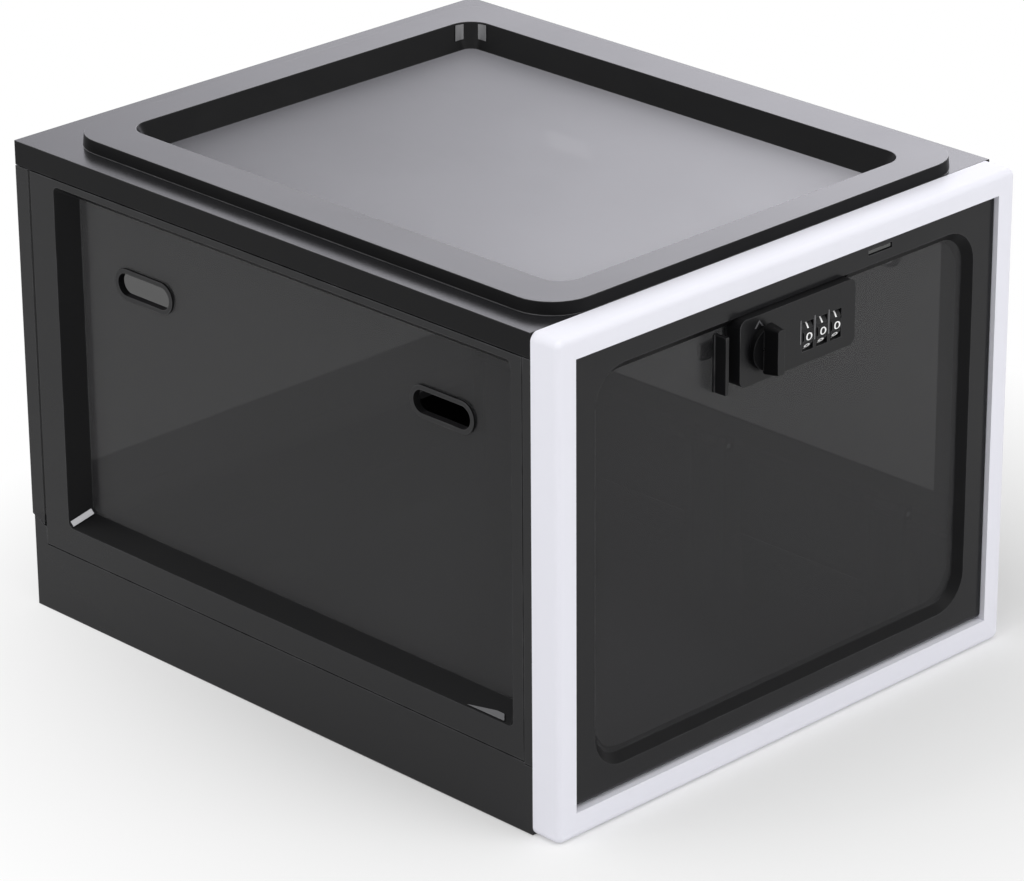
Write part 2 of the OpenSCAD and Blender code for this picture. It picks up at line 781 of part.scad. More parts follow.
// The door: a thick border round a thin sunken window, with the lock's seat and cut-outs
module door() {
    channel = wall + door_rib_gap;
    color(pane_smoke) difference() {
        union() {
            block(-door_x, door_x, hinge_y, door_back_y, door_z0, door_z1);
            block(-door_x, door_x, door_face_y, door_back_y, hinge_z, door_z1);
            rod_x(-door_x, door_x, hinge_y, hinge_z, door_edge_r);
        }
        facing_rear(0, door_face_y, window_z)
            tapered(window_w, window_h, window_r, window_depth, window_slope);
        facing_front(0, door_back_y, window_z)
            tapered(window_w - 2 * window_slope, window_h - 2 * window_slope, window_r,
                    door_back_y - pane_back_y, door_back_slope);
        block(-lock_w / 2 - seat_gap, lock_w / 2 + seat_gap, door_face_y - past, pane_face_y,
              lock_z - lock_h / 2 - seat_gap, lock_z + lock_h / 2 + seat_gap);
        block(-lock_w / 2, lock_w / 2, pane_back_y, door_back_y + past,
              lock_z - lock_h / 2, lock_z + lock_h / 2);
        block(case_x0 - seat_gap, case_x1 + seat_gap, pane_face_y - past, pane_back_y + past,
              dial_z - case_h / 2 - seat_gap, dial_z + case_h / 2 + seat_gap);
        rod_y(pane_face_y - past, pane_back_y + past, -knob_x, lock_z, boss_r + seat_gap);
        lock_screw_places() rod_y(pane_face_y - past, pane_back_y + past, 0, 0, screw_head_r + pass_gap);
        block(catch_x - catch_w / 2 - catch_slot_gap, catch_x + catch_w / 2 + catch_slot_gap,
              door_face_y - past, door_back_y + past, catch_z() - catch_t / 2 - catch_slot_gap,
              catch_z() + catch_t / 2 + catch_slot_gap);
        both_sides() {
            rod_x(-door_x - past, -door_x + door_pin_l - door_pin_grip + pin_bore_over, hinge_y, hinge_z,
                  door_pin_r + run_fit);
            block(-door_x + wall, -door_x + door_border_x - channel, pane_face_y,
                  door_back_y + past, door_z0 + door_border_bottom, door_z1 - wall);
        }
    }
}

module door_hinge_pins() {
    color(steel) both_sides() {
        rod_x(-open_x - door_pin_grip, -open_x - door_pin_grip + door_pin_l, hinge_y, hinge_z, door_pin_r);
    }
}

// Tab on the black frame's lip that shows in the door's top slot
module door_catch() {
    color(black) block(catch_x - catch_w / 2, catch_x + catch_w / 2, door_face_y + catch_setback,
                       lip_front_y + catch_root, catch_z() - catch_t / 2, catch_z() + catch_t / 2);
}

module door_pull() {
    pull_z = lock_z - pull_drop;
    color(black) union() {
        block(-pull_x - pull_t / 2, -pull_x + pull_t / 2, pane_face_y - pull_proud, pane_face_y,
              pull_z - pull_h / 2, pull_z + pull_h / 2);
        block(-pull_x - pull_foot / 2, -pull_x + pull_foot / 2, pane_face_y - pull_foot_t, pane_face_y,
              pull_z - pull_h / 2, pull_z + pull_h / 2);
    }
}

// Where the four screws of the lock go
module lock_screw_places() {
    for (x = [-1, 1]) {
        for (z = [-1, 1]) {
            translate([x * lock_screw_x, 0, lock_z + z * lock_screw_z]) children();
        }
    }
}

// Where the dials' middles are along the axle
function dial_middle(i) = dial_x + i * dial_pitch;

module lock_housing() {
    color(black) difference() {
        union() {
            difference() {
                facing_front(0, pane_face_y, lock_z)
                    linear_extrude(height = lock_proud) round_rect(lock_w, lock_h, lock_r);
                facing_front(0, pane_face_y, lock_z)
                    linear_extrude(height = lock_proud - lock_wall)
                        round_rect(lock_w - 2 * lock_wall, lock_h - 2 * lock_wall, lock_r - lock_wall);
            }
            rod_y(lock_face_y + lock_wall / 2, pane_back_y, -knob_x, lock_z, boss_r);
            lock_screw_places() rod_y(lock_face_y + lock_wall / 2, pane_back_y, 0, 0, screw_head_r);
            knob_mark();
        }
        rod_y(lock_face_y - past, pane_back_y + past, -knob_x, lock_z, spindle_r + run_fit);
        lock_screw_places() rod_y(lock_face_y + lock_wall + screw_tip - screw_tip_gap, pane_back_y + past,
                                  0, 0, screw_r + push_fit);
        for (i = [0:2]) {
            block(dial_middle(i) - dial_slot_w / 2, dial_middle(i) + dial_slot_w / 2, lock_face_y - past,
                  lock_face_y + lock_wall + past, dial_z - dial_slot_h / 2, dial_z + dial_slot_h / 2);
        }
    }
}

// Raised arrow above the knob, a little to its left
module knob_mark() {
    foot = mark_w * mark_t / mark_l;
    facing_front(-knob_x - mark_in, lock_face_y, lock_z + knob_r + mark_gap)
        linear_extrude(height = mark_h) polygon([[-mark_w, 0], [0, mark_l], [mark_w, 0],
                                                 [mark_w - foot, 0], [0, mark_l - mark_t], [foot - mark_w, 0]]);
}

module lock_back_case() {
    color(black) difference() {
        union() {
            block(-lock_w / 2 + plate_inset, lock_w / 2 - plate_inset, plate_front_y, plate_back_y,
                  lock_z - lock_h / 2 + plate_inset, lock_z + lock_h / 2 - plate_inset);
            block(case_x0, case_x1, dial_y - axle_r - axle_cover, case_back_y + case_wall,
                  dial_z - case_h / 2, dial_z + case_h / 2);
        }
        block(case_x0 + case_wall, case_x1 - case_wall, lock_face_y, case_back_y,
              dial_z - case_h / 2 + case_wall, dial_z + case_h / 2 - case_wall);
        block(case_x0 - past, case_x1 + past, lock_face_y, plate_front_y,
              dial_z + axle_r + cheek_w, dial_z + case_h / 2 + past);
        block(case_x0 - past, case_x1 + past, lock_face_y, plate_front_y,
              dial_z - case_h / 2 - past, dial_z - axle_r - cheek_w);
        rod_x(case_x0 - past, case_x1 + past, dial_y, dial_z, axle_r + push_fit);
        rod_y(plate_front_y - past, plate_back_y + past, -knob_x, lock_z, spindle_r + run_fit);
        lock_screw_places() rod_y(plate_front_y - past, plate_back_y + past, 0, 0, screw_r + screw_gap);
    }
}

module lock_screws() {
    color(steel) lock_screw_places() {
        rod_y(lock_face_y + lock_wall + screw_tip, plate_back_y, 0, 0, screw_r);
        rod_y(plate_back_y, plate_back_y + lock_head_t, 0, 0, screw_head_r);
    }
}

// One dial with a shallow groove between each two digits
module dial(i) {
    step = 360 / digits;
    color(black) difference() {
        rod_x(dial_middle(i) - dial_w / 2, dial_middle(i) + dial_w / 2, dial_y, dial_z, dial_r);
        rod_x(dial_middle(i) - dial_w, dial_middle(i) + dial_w, dial_y, dial_z, axle_r + run_fit);
        for (k = [0:digits - 1]) {
            translate([0, dial_y, dial_z]) rotate([(k + 0.5) * step, 0, 0])
                rod_x(dial_middle(i) - dial_w, dial_middle(i) + dial_w, -dial_r - groove_out, 0, groove_r);
        }
    }
}

module dial_1() { dial(0); }
module dial_2() { dial(1); }
module dial_3() { dial(2); }

module dial_axle() {
    color(steel) rod_x(case_x0, case_x1, dial_y, dial_z, axle_r);
}

// Leaf with one finger behind each dial, flat on the case's back wall
module detent_spring() {
    z0 = dial_z - case_h / 2 + case_wall + leaf_gap;
    color(steel) union() {
        block(dial_middle(0) - dial_w / 2, dial_middle(2) + dial_w / 2, case_back_y - leaf_t, case_back_y,
              z0, z0 + leaf_foot);
        for (i = [0:2]) {
            block(dial_middle(i) - leaf_w / 2, dial_middle(i) + leaf_w / 2, case_back_y - leaf_t, case_back_y,
                  z0 + leaf_foot - lap, dial_z + leaf_reach);
        }
    }
}

module lock_knob() {
    face_y = lock_face_y - knob_gap;
    base_front_y = face_y - knob_base_t;
    color(black) difference() {
        union() {
            rod_y(base_front_y, face_y, -knob_x, lock_z, knob_r);
            facing_front(-knob_x, base_front_y + lap / 2, lock_z)
                tapered(bar_w, bar_h, bar_r, bar_proud - knob_base_t - knob_gap + lap / 2, bar_slope);
        }
        rod_y(base_front_y, face_y + past, -knob_x, lock_z, spindle_r + push_fit);
        rod_y(base_front_y - knob_bore, base_front_y + lap, -knob_x, lock_z, tail_r + push_fit);
    }
}

module lock_spindle() {
    shoulder_y = lock_face_y - knob_gap - knob_base_t + pin_end_gap;
    color(steel) difference() {
        union() {
            rod_y(shoulder_y, cam_back_y, -knob_x, lock_z, spindle_r);
            rod_y(shoulder_y - knob_bore, shoulder_y + lap, -knob_x, lock_z, tail_r);
        }
        rod_y(cam_back_y - cam_screw_l - pass_gap, cam_back_y + past, -knob_x, lock_z, screw_r + push_fit);
    }
}

module spindle_washer() {
    color(steel) difference() {
        rod_y(plate_back_y + washer_gap, cam_front_y - washer_gap / 2, -knob_x, lock_z, spindle_r + washer_w);
        rod_y(plate_back_y - past, cam_front_y + past, -knob_x, lock_z, spindle_r + push_fit);
    }
}

// The cam points to the left when the lock is open and turns up behind the lip to lock
module lock_cam() {
    color(steel) difference() {
        union() {
            rod_y(cam_front_y, cam_back_y, -knob_x, lock_z, cam_hub_r);
            block(-knob_x - cam_reach, -knob_x, cam_front_y, cam_back_y, lock_z - cam_w / 2,
                  lock_z + cam_w / 2);
        }
        rod_y(cam_front_y - past, cam_back_y + past, -knob_x, lock_z, spindle_r + push_fit);
    }
}

module cam_screw() {
    color(steel) union() {
        rod_y(cam_back_y - cam_screw_l, cam_back_y + lap / 2, -knob_x, lock_z, screw_r);
        rod_y(cam_back_y, cam_back_y + cam_head_t, -knob_x, lock_z, spindle_r + cam_head_over);
    }
}

base_tray();
left_side_panel();
right_side_panel();
left_hinge_pins();
right_hinge_pins();
rear_panel();
rear_panel_pins();
lid();
front_frame();
front_frame_pins();
front_bezel();
bezel_screws();
door();
door_hinge_pins();
door_catch();
door_pull();
lock_housing();
lock_back_case();
lock_screws();
dial_1();
dial_2();
dial_3();
dial_axle();
detent_spring();
lock_knob();
lock_spindle();
spindle_washer();
lock_cam();
cam_screw();
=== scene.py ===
import math

import bmesh
import bpy
from mathutils import Matrix, Vector


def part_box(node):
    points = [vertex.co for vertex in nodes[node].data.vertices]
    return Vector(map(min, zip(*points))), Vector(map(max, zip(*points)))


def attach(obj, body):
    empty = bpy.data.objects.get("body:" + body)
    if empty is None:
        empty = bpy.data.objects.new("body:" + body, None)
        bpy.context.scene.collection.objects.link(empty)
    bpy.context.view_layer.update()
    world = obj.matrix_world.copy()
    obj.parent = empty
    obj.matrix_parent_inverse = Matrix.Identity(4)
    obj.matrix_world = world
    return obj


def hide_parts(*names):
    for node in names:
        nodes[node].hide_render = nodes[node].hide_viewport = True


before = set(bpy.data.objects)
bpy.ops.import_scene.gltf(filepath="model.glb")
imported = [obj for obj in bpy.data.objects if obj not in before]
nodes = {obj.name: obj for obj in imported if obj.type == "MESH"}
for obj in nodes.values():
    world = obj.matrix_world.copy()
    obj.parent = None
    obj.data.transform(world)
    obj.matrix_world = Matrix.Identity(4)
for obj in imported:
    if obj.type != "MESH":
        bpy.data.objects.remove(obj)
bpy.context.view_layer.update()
MM = 0.001

# Colours of the plastics and metals
SMOKE = (0.0125, 0.0125, 0.0135)
SMOKE_PANE = (0.0235, 0.0235, 0.025)
LID_SMOKE = (0.013, 0.013, 0.0145)
LID_HAZE = (0.145, 0.144, 0.158)
# Light colour blended into the lid's pane as a painted sheen, in place of the reflection along the lid
PAINTED_SHEEN_COLOUR = (0.42, 0.415, 0.45)
# Darker smoke for the walls of recesses, hollows and vents and the lid's sides: painted shade
WALL_SHADE = (0.006, 0.006, 0.0065)
CATCH_GREY = (0.055, 0.057, 0.055)
BLACK = (0.006, 0.006, 0.0068)
# Darker black for the thumb turn's sides, which stand in shade: painted shade
KNOB_SHADE_BLACK = (0.0025, 0.0025, 0.0028)
# Light grey for a painted highlight in a recess corner
CORNER_HIGHLIGHT_GREY = (0.38, 0.38, 0.40)
# Rubbed colour of the dark plastics' edges: partly wear, partly painted highlight
RUB_AND_HIGHLIGHT_BLACK = (0.11, 0.11, 0.115)
# Grey for painted reflections and a painted glint
REFLECTION_GREY = (0.105, 0.105, 0.11)
WHITE = (0.80, 0.80, 0.865)
SCUFFED_WHITE = (0.70, 0.69, 0.70)
DUST = (0.34, 0.33, 0.32)
PRINT_WHITE = (0.86, 0.86, 0.86)
PRINT_GREY = (0.26, 0.26, 0.27)
ARROW_GREY = (0.085, 0.085, 0.09)
# Darkened steel for the bezel screws: painted shade
SCREW_SHADE_STEEL = (0.09, 0.09, 0.095)
STEEL = (0.56, 0.57, 0.59)
ZINC = (0.62, 0.62, 0.60)
PAPER = (0.82, 0.82, 0.82, 1)
CARD_WHITE = (0.975, 0.965, 1.04, 1)
PURE_WHITE = (1, 1, 1, 1)


def low_corner(node):
    """A node's lowest corner at rest, in mm."""
    return [round(part / MM, 3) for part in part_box(node)[0]]


def high_corner(node):
    """A node's highest corner at rest, in mm."""
    return [round(part / MM, 3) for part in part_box(node)[1]]


# Outer faces of the part, in mm
SIDE_X, REAR_Y, RIM_TOP_Z = high_corner("lid")
DOOR_FACE_Y = low_corner("door")[1]
KNOB_FRONT_Y = low_corner("lock_knob")[1]
KNOB_X = (low_corner("lock_knob")[0] + high_corner("lock_knob")[0]) / 2
DIAL_Z = (low_corner("dial_1")[2] + high_corner("dial_1")[2]) / 2

# Depths, walls and corners of the solids, in mm
RECESS_DEPTH = 10.0
WINDOW_DEPTH = 4.0
PANE_T = 2.0
RIM_H = 6.2
RIM_MARGIN_SIDE = 14.0
RIM_MARGIN_REAR = 19.5
RIM_W_SIDE = 23.0
RIM_W_REAR = 18.0
HOLLOW_DEPTH = 12.0
HOLLOW_SLOPE = 6.5
HOLLOW_R = 12.0
ARROW_RISE = 0.3

# How far a face's normal lies along an axis: square to it, or in a span from low to high
SQUARE_ON = 0.97
SIDE_ON = 0.3
LOOKS_UP = 0.75
RECESS_WALL_LEAN = (0.3, 0.8)
WINDOW_WALL_LEAN = (0.3, 0.85)
HOLLOW_WALL_LEAN = (0.3, 0.7)

# Where one finish ends and the next begins on a piece, in mm; a span is low and high
NEAR_FACE = 0.2
PANE_OUTER_X = SIDE_X - RECESS_DEPTH
PANE_INNER_X = PANE_OUTER_X - PANE_T
RECESS_WALL_X = (PANE_OUTER_X + 0.4, SIDE_X - 0.7)
VENT_WALL_X = (PANE_INNER_X - 0.4, PANE_OUTER_X + 1.4)
VENT_Z = 183.0
VENT_REACH = 8.0
REAR_PANE_Y = REAR_Y - 5.0
WINDOW_FACES_Y = (DOOR_FACE_Y + WINDOW_DEPTH, DOOR_FACE_Y + WINDOW_DEPTH + PANE_T)
WINDOW_WALL_Y = (DOOR_FACE_Y + 0.5, DOOR_FACE_Y + WINDOW_DEPTH - 0.2)
LID_FLOOR_Z = RIM_TOP_Z - HOLLOW_DEPTH + 0.8
FLANGE_Z = RIM_TOP_Z - RIM_H
FLANGE_REACH = 0.85
RIM_EDGE_Z = RIM_TOP_Z - 0.9
HOLLOW_REACH_X = 120.0
ARROW_X = KNOB_X - 3.4
ARROW_REACH = 3.2
ARROW_Z = (211.6, 215.4)
HOUSING_FACE_Y = low_corner("lock_housing")[1] + ARROW_RISE
ARROW_FOOT_Y = HOUSING_FACE_Y - 0.05
BAR_FRONT_Y = KNOB_FRONT_Y + 1.2

# The rear right corner of the lid's hollow: its centre in mm, and the wall's lean for each mm down
HOLLOW_CORNER_AT = (SIDE_X - RIM_MARGIN_SIDE - RIM_W_SIDE - HOLLOW_R,
                    REAR_Y - RIM_MARGIN_REAR - RIM_W_REAR - HOLLOW_R)
HOLLOW_LEAN = HOLLOW_SLOPE / HOLLOW_DEPTH

# Painted reflections on that wall, as thin light pads, in mm across the corner, down the wall and out
# of it
REFLECTION_NEAR = 3.6
REFLECTION_FAR = 7.6
REFLECTION_TOP = 1.0
REFLECTION_FOOT = 7.6
REFLECTION_PROUD = 0.5
REFLECTION_SUNK = 0.02
REFLECTION_EDGE = 0.12

# Painted highlights: thin light slivers in the lower corners of the left panel's recess, in mm
REAR_HIGHLIGHT = [(-149.3, 152.0, 51.9), (-149.3, 149.8, 49.9),
               (-141.0, 144.0, 56.0), (-141.0, 146.2, 58.0)]
REAR_HIGHLIGHT_LIFT = (-0.15, -0.2, 0.2)
FRONT_HIGHLIGHT = [(-149.4, -146.0, 50.0), (-149.4, -122.5, 50.0), (-148.2, -130.0, 50.8),
                (-146.9, -139.0, 51.7), (-146.9, -143.5, 51.7)]
FRONT_HIGHLIGHT_LIFT = (-0.15, 0.0, 0.15)
SLIVER_SINK = 0.2

# Print on the dials and beside their windows, in metres
DIGIT_SIZE = 0.0052
DIGIT_STRETCH = (1.75, 1.0, 1.0)
DIGIT_SHIFT = -0.0004
PRINT_THICKNESS = 0.0001
INDEX_LINE = {"Length": 0.0115, "Width": 0.00042, "Thickness": 0.0002}
INDEX_RISE = 0.0027
INDEX_GAP = 0.00155

DIAL_BODIES = {"1": "first_dial", "2": "second_dial", "3": "third_dial"}


# Shader node helpers
def start_group(name, inputs, outputs):
    tree = bpy.data.node_groups.new(name, "ShaderNodeTree")
    for label, kind, value in inputs:
        socket = tree.interface.new_socket(label, in_out="INPUT", socket_type=kind)
        socket.default_value = value
    for label, kind in outputs:
        tree.interface.new_socket(label, in_out="OUTPUT", socket_type=kind)
    return tree, tree.nodes.new("NodeGroupInput"), tree.nodes.new("NodeGroupOutput")


def add(tree, kind, values=None, **settings):
    node = tree.nodes.new(kind)
    for key, value in settings.items():
        setattr(node, key, value)
    for key, value in (values or {}).items():
        if isinstance(value, bpy.types.NodeSocket):
            tree.links.new(value, node.inputs[key])
        else:
            node.inputs[key].default_value = value
    return node


def calculate(tree, operation, *values):
    return add(tree, "ShaderNodeMath", dict(enumerate(values)), operation=operation).outputs[0]


def times(tree, a, b):
    return calculate(tree, "MULTIPLY", a, b)


def plus(tree, a, b):
    return calculate(tree, "ADD", a, b)


def spread(tree, value, low, high, to_low, to_high):
    """Stretches value from low..high to to_low..to_high, and holds it there."""
    keys = {"Value": value, "From Min": low, "From Max": high, "To Min": to_low, "To Max": to_high}
    return add(tree, "ShaderNodeMapRange", keys).outputs["Result"]


def on_piece(tree):
    return add(tree, "ShaderNodeTexCoord").outputs["Object"]


def stretched(tree, where, scale):
    return add(tree, "ShaderNodeMapping", {"Vector": where, "Scale": scale}).outputs[0]


def noise(tree, where, scale, detail, **more):
    keys = {"Vector": where, "Scale": scale, "Detail": detail, **more}
    return add(tree, "ShaderNodeTexNoise", keys).outputs["Fac"]


def share_along(tree, vector, direction):
    keys = {0: vector, 1: direction}
    return add(tree, "ShaderNodeVectorMath", keys, operation="DOT_PRODUCT").outputs["Value"]


def blend_colours(tree, share, first, second):
    mix = add(tree, "ShaderNodeMix", data_type="RGBA")
    for key, value in ((0, share), (6, first), (7, second)):
        if isinstance(value, bpy.types.NodeSocket):
            tree.links.new(value, mix.inputs[key])
        elif key == 0:
            mix.inputs[key].default_value = value
        else:
            mix.inputs[key].default_value = (*value, 1)
    return mix.outputs[2]


# Shares and places inside the effects; the painted sheen's are in metres along its direction
SWELL_SHARE = 0.6
GRAIN_SHARE = 0.4
SPECK_SHARE = 0.7
DRIFT_SHARE = 0.3
SHEEN_DIRECTION = (0.54, -0.84, 0.0)
SHEEN_START = -0.16
SHEEN_END = 0.17
SHEEN_WAVER = 0.06


# Effects that the materials share
def make_moulded_skin():
    tree, into, out = start_group(
        "moulded_skin",
        [("Scale", "NodeSocketFloat", 300.0), ("Rough Low", "NodeSocketFloat", 0.2),
         ("Rough High", "NodeSocketFloat", 0.3)],
        [("Roughness", "NodeSocketFloat"), ("Height", "NodeSocketFloat")])
    where = on_piece(tree)
    broad = noise(tree, where, scale=14.0, detail=4.0)
    fine = noise(tree, where, scale=into.outputs["Scale"], detail=3.0)
    rough = spread(tree, broad, 0.3, 0.7, into.outputs["Rough Low"], into.outputs["Rough High"])
    tree.links.new(rough, out.inputs["Roughness"])
    height = plus(tree, times(tree, broad, SWELL_SHARE), times(tree, fine, GRAIN_SHARE))
    tree.links.new(height, out.inputs["Height"])
    return tree


def make_haze_film():
    """A painted sheen: the lid's colour lightens from its rear left to its front right, in place of
    the reflection along the lid.
    """
    tree, into, out = start_group(
        "lid_painted_sheen", [("Amount", "NodeSocketFloat", 1.0)], [("Mask", "NodeSocketFloat")])
    where = on_piece(tree)
    along = share_along(tree, where, SHEEN_DIRECTION)
    uneven = noise(tree, where, scale=7.0, detail=3.0)
    thick = spread(tree, along, SHEEN_START, SHEEN_END, 0.0, 1.0)
    painted_sheen = plus(tree, thick, spread(tree, uneven, 0.3, 0.7, -SHEEN_WAVER, SHEEN_WAVER))
    tree.links.new(times(tree, painted_sheen, into.outputs["Amount"]), out.inputs["Mask"])
    return tree


def make_handling_marks():
    tree, into, out = start_group(
        "handling_marks",
        [("Scale", "NodeSocketFloat", 22.0), ("Amount", "NodeSocketFloat", 1.0)],
        [("Mask", "NodeSocketFloat")])
    where = stretched(tree, on_piece(tree), (1.0, 0.55, 1.6))
    cloud = noise(tree, where, scale=into.outputs["Scale"], detail=7.0, Roughness=0.62, Distortion=0.7)
    mask = spread(tree, cloud, 0.48, 0.74, 0.0, 1.0)
    tree.links.new(times(tree, mask, into.outputs["Amount"]), out.inputs["Mask"])
    return tree


# Lighter edges found by a rounded normal: partly rubbed wear, partly painted highlight
def make_edge_rub():
    tree, into, out = start_group(
        "edge_rub_and_highlight",
        [("Radius", "NodeSocketFloat", 0.0008), ("Amount", "NodeSocketFloat", 1.0)],
        [("Mask", "NodeSocketFloat")])
    rounded = add(tree, "ShaderNodeBevel", {"Radius": into.outputs["Radius"]}, samples=4).outputs[0]
    true_normal = add(tree, "ShaderNodeNewGeometry").outputs["Normal"]
    turned = spread(tree, share_along(tree, rounded, true_normal), 0.995, 0.90, 0.0, 1.0)
    patch = noise(tree, on_piece(tree), scale=70.0, detail=5.0)
    broken = spread(tree, patch, 0.38, 0.66, 0.15, 1.0)
    rub_and_highlight = times(tree, turned, broken)
    tree.links.new(times(tree, rub_and_highlight, into.outputs["Amount"]), out.inputs["Mask"])
    return tree


def make_settled_dust():
    tree, into, out = start_group(
        "settled_dust", [("Amount", "NodeSocketFloat", 0.1)], [("Mask", "NodeSocketFloat")])
    normal = add(tree, "ShaderNodeNewGeometry").outputs["Normal"]
    up = add(tree, "ShaderNodeSeparateXYZ", {0: normal}).outputs[2]
    flat = spread(tree, up, 0.55, 0.98, 0.0, 1.0)
    where = on_piece(tree)
    specks = noise(tree, where, scale=900.0, detail=2.0)
    drift = noise(tree, where, scale=9.0, detail=5.0)
    fine = spread(tree, specks, 0.55, 0.80, 0.0, 1.0)
    broad = spread(tree, drift, 0.40, 0.70, 0.2, 1.0)
    specked = plus(tree, times(tree, fine, SPECK_SHARE), DRIFT_SHARE)
    laid = times(tree, times(tree, flat, broad), specked)
    tree.links.new(times(tree, laid, into.outputs["Amount"]), out.inputs["Mask"])
    return tree


skin_group = make_moulded_skin()
sheen_group = make_haze_film()
marks_group = make_handling_marks()
rub_and_highlight_group = make_edge_rub()
dust_group = make_settled_dust()


# Material makers
SKIN_DEPTH = 0.0006
LINE_DEPTH = 0.0001
MARK_TINT = 0.12
RUB_ROUGH = 0.1
DULL_SHARE = 0.5
DULL_SHADE = 0.55
DULL_ROUGH = 0.12


def use(tree, group, values):
    node = tree.nodes.new("ShaderNodeGroup")
    node.node_tree = group
    for key, value in values.items():
        node.inputs[key].default_value = value
    return node


def start_material(name):
    material = bpy.data.materials.new(name)
    material.use_nodes = True
    tree = material.node_tree
    return material, tree, tree.nodes["Principled BSDF"]


def start_bare_material(name):
    """A material with nothing in it but its output."""
    material = bpy.data.materials.new(name)
    material.use_nodes = True
    tree = material.node_tree
    tree.nodes.clear()
    return material, tree, tree.nodes.new("ShaderNodeOutputMaterial")


def roughen(tree, shader, strength, depth, height):
    """Feeds a height into the shader's normal."""
    keys = {"Strength": strength, "Distance": depth, "Height": height}
    tree.links.new(add(tree, "ShaderNodeBump", keys).outputs[0], shader.inputs["Normal"])


def plastic(name, colour, rubbed_and_highlit, rough=(0.2, 0.3), gloss=0.5, alpha=1.0, grain=260.0, relief=0.03,
            rub_and_highlight=0.5, rub_and_highlight_radius=0.0009, marks=0.3, haze=0.12, dust=0.05, painted_sheen=None):
    """Moulded plastic: grain and swell in the skin, hand marks, a little dust, and lighter edges that
    are partly rubbed wear and partly painted highlight; painted_sheen, where given, adds a painted
    sheen.
    """
    material, tree, shader = start_material(name)
    # Blends in the sheen colour by the sheen mask: painted sheen
    if painted_sheen:
        mask = use(tree, sheen_group, {"Amount": 1.0}).outputs["Mask"]
        colour = blend_colours(tree, mask, colour, painted_sheen)
    skin = use(tree, skin_group, {"Scale": grain, "Rough Low": rough[0], "Rough High": rough[1]})
    hand = use(tree, marks_group, {"Amount": marks}).outputs["Mask"]
    edge = use(tree, rub_and_highlight_group, {"Radius": rub_and_highlight_radius, "Amount": rub_and_highlight}).outputs["Mask"]
    settled = use(tree, dust_group, {"Amount": dust}).outputs["Mask"]
    # Edges take the rubbed colour: wear, and on the dark plastics also painted highlight
    worn_and_highlit = blend_colours(tree, edge, colour, rubbed_and_highlit)
    hazy = blend_colours(tree, times(tree, hand, haze * MARK_TINT), worn_and_highlit, DUST)
    tree.links.new(blend_colours(tree, settled, hazy, DUST), shader.inputs["Base Color"])
    handled = plus(tree, skin.outputs["Roughness"], times(tree, hand, haze))
    tree.links.new(plus(tree, handled, times(tree, edge, RUB_ROUGH)), shader.inputs["Roughness"])
    roughen(tree, shader, relief, SKIN_DEPTH, skin.outputs["Height"])
    shader.inputs["Specular IOR Level"].default_value = gloss
    shader.inputs["Alpha"].default_value = alpha
    return material


def metal(name, colour, rough, stretch, lines=0.25):
    """Drawn or plated metal: fine lines along one axis, with duller patches."""
    material, tree, shader = start_material(name)
    where = on_piece(tree)
    line = noise(tree, stretched(tree, where, stretch), scale=1600.0, detail=2.0)
    patch = noise(tree, where, scale=160.0, detail=5.0)
    dull = spread(tree, patch, 0.35, 0.7, 0.0, 1.0)
    darker = tuple(part * DULL_SHADE for part in colour)
    tinted = blend_colours(tree, times(tree, dull, DULL_SHARE), colour, darker)
    tree.links.new(tinted, shader.inputs["Base Color"])
    lined = spread(tree, line, 0.3, 0.7, rough, rough + DULL_ROUGH)
    tree.links.new(plus(tree, lined, times(tree, dull, DULL_ROUGH)), shader.inputs["Roughness"])
    roughen(tree, shader, lines, LINE_DEPTH, line)
    shader.inputs["Metallic"].default_value = 1.0
    return material


# Smoked plastics of the shell, panels, door and lid
shell_plastic = plastic("smoked_shell_plastic", SMOKE, RUB_AND_HIGHLIGHT_BLACK, rough=(0.16, 0.24), gloss=0.2)
panel_plastic = plastic("smoked_panel_plastic", SMOKE, RUB_AND_HIGHLIGHT_BLACK, rough=(0.14, 0.2), gloss=0.2)
panel_pane = plastic("smoked_side_pane", SMOKE_PANE, RUB_AND_HIGHLIGHT_BLACK, rough=(0.10, 0.16), gloss=0.25,
                     alpha=0.62, rub_and_highlight=0.1)
rear_plastic = plastic("smoked_rear_plastic", SMOKE, RUB_AND_HIGHLIGHT_BLACK, rough=(0.16, 0.24), gloss=0.2,
                       alpha=0.94)
rear_pane = plastic("smoked_rear_pane", SMOKE_PANE, RUB_AND_HIGHLIGHT_BLACK, rough=(0.12, 0.18), gloss=0.2,
                    alpha=0.67, rub_and_highlight=0.1)
# A darker, duller copy of the smoked plastic for the walls: painted shade
shaded_wall_plastic = plastic("smoked_plastic_painted_shade", WALL_SHADE, RUB_AND_HIGHLIGHT_BLACK, rough=(0.3, 0.4), gloss=0.08,
                       rub_and_highlight=0.3, dust=0.02)
door_plastic = plastic("smoked_door_plastic", SMOKE, RUB_AND_HIGHLIGHT_BLACK, rough=(0.14, 0.2), gloss=0.18)
door_pane = plastic("smoked_door_pane", SMOKE_PANE, RUB_AND_HIGHLIGHT_BLACK, rough=(0.16, 0.22), gloss=0.24,
                    alpha=0.62, rub_and_highlight=0.1)
lid_plastic = plastic("smoked_lid_plastic", LID_SMOKE, RUB_AND_HIGHLIGHT_BLACK, rough=(0.2, 0.26), gloss=0.46,
                      rub_and_highlight=0.8)
# The lid's pane lightens towards its front right: painted sheen
lid_pane = plastic("lid_pane_painted_sheen", LID_HAZE, RUB_AND_HIGHLIGHT_BLACK, rough=(0.42, 0.5), gloss=0.3, alpha=0.84,
                   rub_and_highlight=0.0, painted_sheen=PAINTED_SHEEN_COLOUR)

